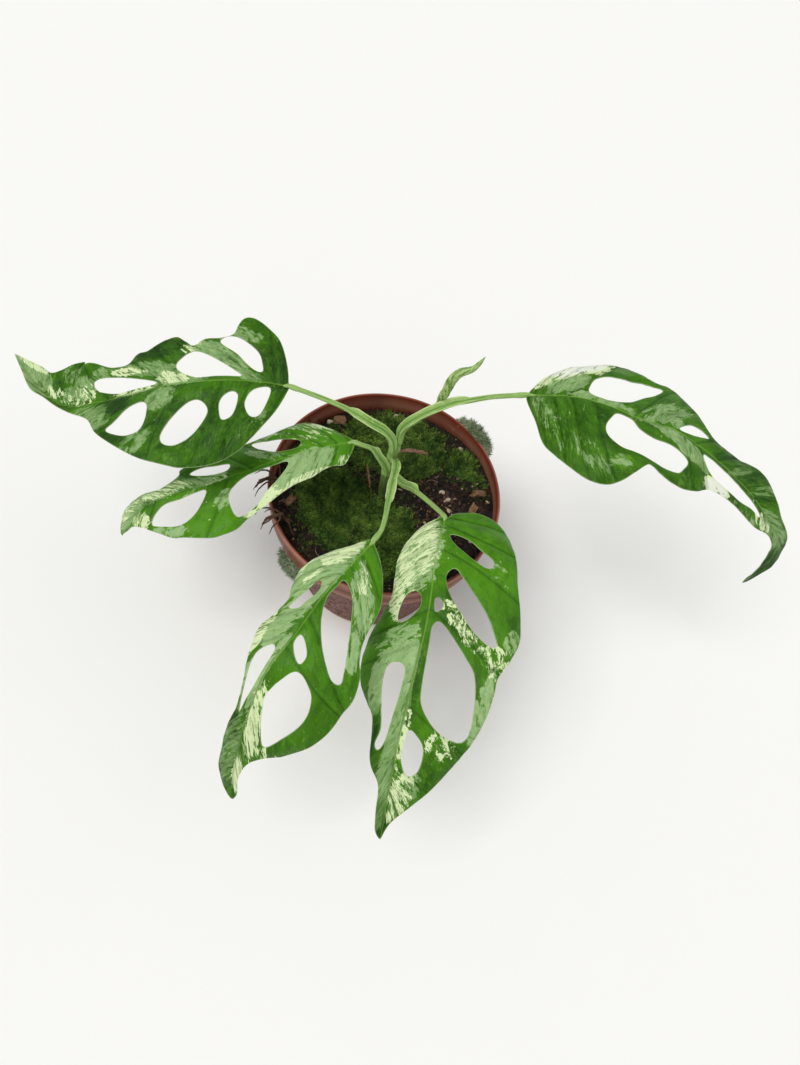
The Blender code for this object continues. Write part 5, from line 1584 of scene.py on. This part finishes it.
def add_fibre(piece, random):
    """One dry fibre that bends over the soil."""
    start = scattered(random, 1, SOIL_RADIUS - 6)[0]
    heading = random.random() * SPIN
    reach = 1.5 + 8.0 * random.random() ** 2
    bend = random.random() - 0.5
    line = []
    for k in range(6):
        turn = heading + bend * k * 0.5
        spot = start + reach * k / 5 * np.array([math.cos(turn), math.sin(turn)])
        spot = spot * min(1, LOOSE_RADIUS / np.linalg.norm(spot))
        rise = 0.35 + 0.5 * math.sin(k / 5 * 3.14) * random.random()
        line.append(on_soil(spot[None], rise)[0])
    width = 0.1 + 0.16 * random.random() ** 2
    radii = np.full((6, 4), width) * np.array([0.5, 1, 1, 1, 0.9, 0.4])[:, None]
    tone = 0.3 + 0.7 * random.random()
    swept(piece, np.array(line), (0, 0, 1), around(4), radii, tone=[[tone]])


def moss_shoots(piece, feet, axes, size, random, tones):
    """Adds a shoot of spread leaflets on each foot."""
    count = len(feet)
    side, front = beside(axes)
    spin = random.random(count) * SPIN
    tall = size * (0.7 + 0.6 * random.random(count))
    for k in range(SHOOT_LEAFLETS):
        share = (k + 1) / SHOOT_LEAFLETS
        turn = spin + k * 2.4
        tilt = math.radians(72 - 50 * share) + 0.25 * (random.random(count) - 0.5)
        out = side * np.cos(turn)[:, None] + front * np.sin(turn)[:, None]
        direction = unit(axes * np.cos(tilt)[:, None] + out * np.sin(tilt)[:, None])
        foot = feet + axes * (tall * (share - 0.25))[:, None]
        lengths = tall * (0.62 - 0.2 * share) * (0.8 + 0.4 * random.random(count))
        tetrahedra(piece, foot, direction, lengths, size * 0.07, tones)


def cushion(points, edge, height):
    """How far a moss cushion stands above the soil at points whose edge is this far away."""
    swell = height * np.sqrt(1 - (1 - np.clip(edge / 6, 0, 1)) ** 2)
    fine = 0.25 * smooth_noise(points, 2.5, 16)
    return swell * (0.8 + 0.25 * smooth_noise(points, 7.0, 15)) + fine


def add_moss_mat(name, settings, finish, random):
    """One moss mat: a bumpy cushion covered with leafy shoots."""
    loop = even_loop(MOSS_MATS[name], 1.3)
    loop = loop + 1.1 * wander(loop, 5.0, 80)
    points, triangles, loops = flat_sheet(loop[::2], [], 1.4)
    height = settings.moss_height / MM
    upper = on_soil(points, cushion(points, distance_to(points, loops), height))
    lower = np.column_stack([points, np.full(len(points), SOIL_TOP - 2.5)])
    piece = Piece()
    faces = both_sides(triangles, len(points))
    # The cushion under the shoots takes the dark foot colour: partly the moss's own dark base,
    # partly painted shade among the shoots.
    piece.add(np.vstack([upper, lower]), faces, tip=0.0, tone=0.3)
    low, high = points.min(axis=0) - 4, points.max(axis=0) + 4
    tries = int(settings.density * np.prod(high - low))
    spots = low + random.random((tries, 2)) * (high - low)
    gaps = distance_to(spots, loops)
    within = inside(spots, loops[0])
    near = random.random(len(spots)) < 0.6 * np.exp(-gaps / 1.6)
    kept = (within | near) & (np.linalg.norm(spots, axis=1) < LOOSE_RADIUS)
    spots, gaps = spots[kept], np.where(within, gaps, 0)[kept]
    feet = on_soil(spots, cushion(spots, gaps, height) - 0.3)
    lean = 0.5 * (random.random((len(spots), 2)) - 0.5)
    lean += unit(spots - points.mean(axis=0)) * np.clip(1 - gaps / 5, 0, 1)[:, None] * 0.7
    axes = unit(np.column_stack([lean, np.ones(len(spots))]))
    tones = 0.38 + 0.35 * smooth_noise(spots, 6.0, 12)
    tones = np.clip(tones + 0.9 * (random.random(len(spots)) ** 2 - 0.3), 0, 1)
    tones = np.where(random.random(len(spots)) > 0.97, 1.0, np.minimum(tones, 0.92))
    moss_shoots(piece, feet, axes, settings.shoot / MM, random, tones)
    piece.build(name + "_cushion", finish, [name])


def add_moss_sprigs(settings, finish, random):
    """Single shoots scattered between the mats, but few on the right and by the left rim."""
    spots = scattered(random, SPRIGS, LOOSE_RADIUS)
    patchy = smooth_noise(spots, 8.0, 31) + 0.5 * smooth_noise(spots, 3.0, 32)
    bare = bell(spots - [36, -4], [24, 22]).prod(axis=1)
    bare += bell(spots - [-50, -14], [12, 22]).prod(axis=1)
    spots = spots[patchy > -0.1 + 1.6 * bare]
    axes = np.column_stack([0.8 * (random.random((len(spots), 2)) - 0.5), np.ones(len(spots))])
    tones = random.random(len(spots)) ** 1.5 * 0.9
    piece = Piece()
    size = settings.shoot / MM * 0.75
    moss_shoots(piece, on_soil(spots, -0.2), unit(axes), size, random, tones)
    piece.build("moss_sprigs", finish)


def add_wall_tuft(name, finish, random):
    """A fuzzy tuft that clings to the outside of the pot."""
    azimuth, low, high, width, depth = TUFTS[name]
    columns, rows = 22, 18
    u, v = np.meshgrid(np.linspace(-1, 1, columns), np.linspace(-1, 1, rows), indexing="ij")
    u, v = u.ravel(), v.ravel()
    across = u * np.sqrt(1 - v**2 / 2)
    along = v * np.sqrt(1 - u**2 / 2)
    heights = (low + high) / 2 + along * (high - low) / 2
    turns = math.radians(azimuth) + across * width / 2 / wall_radius(high)
    near = np.array([wall_radius(h) for h in heights]) - 0.2
    bulge = 0.5 + depth * np.sqrt((1 - u**2) * (1 - v**2))
    out = np.column_stack([circle(turns), 0 * turns])
    upright = np.array([0, 0, 1]) * heights[:, None]
    back = out * near[:, None] + upright
    face = out * (near + bulge)[:, None] + upright
    face += 0.35 * smooth_noise(face, 2.5, 22)[:, None] * out
    count = columns * rows
    order = np.arange(count).reshape(columns, rows)
    quads = np.stack([order[:-1, :-1], order[1:, :-1], order[1:, 1:], order[:-1, 1:]], axis=-1)
    quads = quads.reshape(-1, 4)
    faces = [*quads.tolist(), *(quads[:, ::-1] + count).tolist()]
    rim = [*order[:, 0], *order[-1, 1:], *order[-2::-1, -1], *order[0, -2:0:-1]]
    faces += [(b, a, a + count, b + count) for a, b in zip(rim, rim[1:] + rim[:1])]
    piece = Piece()
    # The sheet under the tuft's shoots takes the dark foot colour: partly the moss's own dark base,
    # partly painted shade inside the fuzz.
    piece.add(np.vstack([face, back]), faces, tip=0.0, tone=0.3)
    chosen = random.integers(0, count, TUFT_SHOOTS)
    feet = face[chosen] + 0.5 * (random.random((TUFT_SHOOTS, 3)) - 0.5)
    spread = 1.5 * (random.random((TUFT_SHOOTS, 3)) - 0.5)
    axes = unit(out[chosen] + spread + np.array([0, 0, 0.35]))
    tones = random.random(TUFT_SHOOTS) * 0.92
    moss_shoots(piece, feet - 0.4 * out[chosen], axes, TUFT_SHOOT, random, tones)
    piece.build(name + "_fuzz", finish, [name])


def add_bark_chip(serial, chip, finish):
    """A splinter of bark: split edges, long grain and a worn top."""
    x, y, long, wide, tall, turn = chip
    points, faces = primitive(bmesh.ops.create_cube, cuts=11, size=1.0)
    rounding = np.linalg.norm(points, axis=1, keepdims=True)
    points = points * (0.55 + 0.45 * 0.62 / np.maximum(rounding, 0.3))
    grain = points * [0.25, 2.2, 1.6]
    points = points * (1 + 0.22 * smooth_noise(grain, 0.35, serial))[:, None]
    points[:, 1] += 0.22 * smooth_noise(points * [1, 0.6, 0.6], 0.55, serial + 20)
    points[:, 2] += 0.12 * smooth_noise(points * [1, 1, 0.2], 0.5, serial + 40)
    split = smooth_noise(points * [0, 3, 2], 1.0, serial + 30)
    points[:, 0] += 0.2 * np.sign(points[:, 0]) * split
    points = turned_about(points[None] * [long, wide, tall], np.radians([turn]))[0]
    piece = Piece()
    piece.add(points + on_soil(np.array([[x, y]]), tall * 0.4), faces)
    piece.build(f"bark_{serial}", finish, [f"bark_chip_{serial}"], sharp=45)


def add_perlite(serial, grain, finish):
    """A lumpy, pitted grain."""
    x, y, size = grain
    points, faces = primitive(bmesh.ops.create_icosphere, subdivisions=4, radius=size / 2)
    lumps = 0.34 * smooth_noise(points, size * 0.5, serial)
    pits = 0.1 * np.abs(smooth_noise(points, size * 0.16, serial + 5))
    points = points * (1 + lumps - pits)[:, None] * [1, 0.85, 0.75]
    piece = Piece()
    piece.add(points + on_soil(np.array([[x, y]]), size * 0.35), faces)
    piece.build(f"perlite_grain_{serial}", finish, [f"perlite_{serial}"])


def add_twig(finish):
    """The tan twig on the soil."""
    piece = Piece()
    knobbly_tube(piece, TWIG_PATH, [0.25, 0.6, 0.75, 0.65, 0.3], 0.4, 77, 12)
    piece.build("twig_on_soil", finish)


def add_soft_light(name, place, spread, strength, tint):
    """A wide, even light that shines from the given place towards the plant."""
    light = bpy.data.lights.new(name, "SUN")
    light.angle = math.radians(spread)
    light.energy = strength
    light.color = tint
    lamp = bpy.data.objects.new(name, light)
    lamp.location = place
    lamp.rotation_euler = (-Vector(place)).to_track_quat("-Z", "Y").to_euler()
    bpy.context.scene.collection.objects.link(lamp)


def add_floor(settings):
    """A wide pale floor under the pot."""
    data = bpy.data.meshes.new("stage_floor")
    corners = np.array([(-1, -1, 0), (1, -1, 0), (1, 1, 0), (-1, 1, 0)]) * FLOOR_REACH
    data.from_pydata(corners, [], [(0, 1, 2, 3)])
    data.materials.append(stage_finish(settings))
    floor = bpy.data.objects.new("stage_floor", data)
    bpy.context.scene.collection.objects.link(floor)


def add_sky(settings):
    """Even light all round, with a brightness of its own where the camera sees it."""
    world = bpy.data.worlds.new("stage_sky")
    world.use_nodes = True
    nodes = Nodes(world.node_tree)
    seen = nodes.add("ShaderNodeLightPath").outputs["Is Camera Ray"]
    sky = world.node_tree.nodes["Background"]
    nodes.feed(sky.inputs["Color"], (1.0, 1.0, 1.0))
    nodes.feed(sky.inputs["Strength"], nodes.ramp(seen, 0, 1, settings.sky, settings.backdrop))
    bpy.context.scene.world = world


def add_camera(settings):
    """The photo's view: it looks steeply down at the pot, turned a little about its axis."""
    tilt = math.radians(CAMERA_TILT)
    roll = math.radians(CAMERA_ROLL)
    forward = Vector((0, math.cos(tilt), -math.sin(tilt)))
    level = Vector((1, 0, 0))
    above = level.cross(forward)
    right = math.cos(roll) * level + math.sin(roll) * above
    up = math.cos(roll) * above - math.sin(roll) * level
    turn = Matrix((right, up, -forward)).transposed().to_4x4()
    camera = bpy.data.cameras.new("photo_camera")
    camera.lens = settings.lens
    camera.sensor_width = 36.0
    camera.clip_start = 0.01
    camera.clip_end = 20.0
    eye = bpy.data.objects.new("photo_camera", camera)
    eye.matrix_world = Matrix.Translation(CAMERA_PLACE) @ turn
    bpy.context.scene.collection.objects.link(eye)
    bpy.context.scene.camera = eye


class AddPot(Operator):
    """Builds the plastic pot"""

    bl_idname = "monstera.add_pot"
    bl_label = "Add Pot"

    def execute(self, context):
        settings = context.scene.monstera_pot
        add_pot(settings, pot_finish(settings))
        return {"FINISHED"}


class AddSoil(Operator):
    """Builds the soil with its crumbs and fibres"""

    bl_idname = "monstera.add_soil"
    bl_label = "Add Soil"

    def execute(self, context):
        settings = context.scene.monstera_ground
        finish = soil_finish(settings)
        add_soil(finish)
        add_crumbs(settings, finish, np.random.default_rng(3))
        return {"FINISHED"}


class AddMoss(Operator):
    """Builds the moss mats and sprigs on the soil and the tufts on the outside of the pot"""

    bl_idname = "monstera.add_moss"
    bl_label = "Add Moss"

    def execute(self, context):
        settings = context.scene.monstera_ground
        random = np.random.default_rng(5)
        finish = moss_finish("moss_green_leafy", settings.moss_deep, settings.moss_bright)
        for name in MOSS_MATS:
            add_moss_mat(name, settings, finish, random)
        add_moss_sprigs(settings, finish, random)
        dry = moss_finish("dry_moss_fuzzy", settings.dry_deep, settings.dry_bright)
        for name in TUFTS:
            add_wall_tuft(name, dry, random)
        return {"FINISHED"}


class AddLooseBits(Operator):
    """Builds the bark chips, the perlite grains and the twig on the soil"""

    bl_idname = "monstera.add_loose_bits"
    bl_label = "Add Loose Bits"

    def execute(self, context):
        settings = context.scene.monstera_ground
        bark = grain_finish("bark_brown_split", settings.bark, "#4a3122", "#b8926e", 0.5, 0.85)
        for serial, chip in enumerate(BARK_CHIPS, 1):
            add_bark_chip(serial, chip, bark)
        white = grain_finish("perlite_dusty", settings.perlite, "#b7a78f", "#8f7a62", 0.6, 0.9)
        for serial, grain in enumerate(PERLITE, 1):
            add_perlite(serial, grain, white)
        add_twig(bark)
        return {"FINISHED"}


class AddRoots(Operator):
    """Builds the aerial root and the dead roots over the rim"""

    bl_idname = "monstera.add_roots"
    bl_label = "Add Roots"

    def execute(self, context):
        add_roots(root_finish(context.scene.monstera_stalks))
        return {"FINISHED"}


class AddStalks(Operator):
    """Builds the main stem, and the five stalks with their sheaths"""

    bl_idname = "monstera.add_stalks"
    bl_label = "Add Stem and Stalks"

    def execute(self, context):
        settings = context.scene.monstera_stalks
        finish = stalk_finish(settings)
        add_stem(settings, finish)
        for seed, name in enumerate(STALKS, 11):
            add_stalk(name, settings, finish, seed)
        return {"FINISHED"}


class AddNewLeaf(Operator):
    """Builds the rolled new leaf"""

    bl_idname = "monstera.add_new_leaf"
    bl_label = "Add New Leaf"

    def execute(self, context):
        add_new_leaf(new_leaf_finish(context.scene.monstera_blades, context.scene.monstera_stalks))
        return {"FINISHED"}


class AddBlades(Operator):
    """Builds the five open blades"""

    bl_idname = "monstera.add_blades"
    bl_label = "Add Blades"

    def execute(self, context):
        settings = context.scene.monstera_blades
        finish = blade_finish(settings)
        for seed, name in enumerate(BLADES, 1):
            add_blade(name, settings, finish, seed)
        return {"FINISHED"}


class AddStage(Operator):
    """Builds the pale floor, the lights and the camera"""

    bl_idname = "monstera.add_stage"
    bl_label = "Add Stage"

    def execute(self, context):
        settings = context.scene.monstera_stage
        add_floor(settings)
        add_sky(settings)
        add_soft_light("key_light", (-0.4, -0.35, 1.2), 32, settings.key, (1.0, 0.99, 0.97))
        add_soft_light("fill_light", (0.9, 0.3, 0.9), 50, settings.fill, (0.97, 0.98, 1.0))
        add_camera(settings)
        context.scene.view_settings.view_transform = "Standard"
        context.scene.view_settings.look = "None"
        return {"FINISHED"}


class MonsteraPanel(Panel):
    """Lists the plant's pieces and their settings in the 3D view's sidebar"""

    bl_idname = "VIEW3D_PT_monstera"
    bl_label = "Potted Monstera"
    bl_space_type = "VIEW_3D"
    bl_region_type = "UI"
    bl_category = "Monstera"

    def draw(self, context):
        for operator in PIECE_OPERATORS:
            self.layout.operator(operator.bl_idname)
        for name in SETTINGS:
            box = self.layout.box()
            group = getattr(context.scene, name)
            for label in group.bl_rna.properties.keys():
                if label not in ("rna_type", "name"):
                    box.prop(group, label)


PIECE_OPERATORS = (
    AddPot, AddSoil, AddMoss, AddLooseBits, AddRoots, AddStalks, AddNewLeaf, AddBlades, AddStage,
)
SETTINGS = {
    "monstera_blades": BladeSettings,
    "monstera_stalks": StalkSettings,
    "monstera_pot": PotSettings,
    "monstera_ground": GroundSettings,
    "monstera_stage": StageSettings,
}


def register():
    for name, group in SETTINGS.items():
        bpy.utils.register_class(group)
        setattr(bpy.types.Scene, name, PointerProperty(type=group))
    for shown in (*PIECE_OPERATORS, MonsteraPanel):
        bpy.utils.register_class(shown)


def unregister():
    for shown in (MonsteraPanel, *reversed(PIECE_OPERATORS)):
        bpy.utils.unregister_class(shown)
    for name, group in SETTINGS.items():
        delattr(bpy.types.Scene, name)
        bpy.utils.unregister_class(group)


def main():
    register()
    bpy.ops.monstera.add_pot()
    bpy.ops.monstera.add_soil()
    bpy.ops.monstera.add_moss()
    bpy.ops.monstera.add_loose_bits()
    bpy.ops.monstera.add_roots()
    bpy.ops.monstera.add_stalks()
    bpy.ops.monstera.add_new_leaf()
    bpy.ops.monstera.add_blades()
    bpy.ops.monstera.add_stage()
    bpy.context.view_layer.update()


if __name__ == "__main__":
    main()
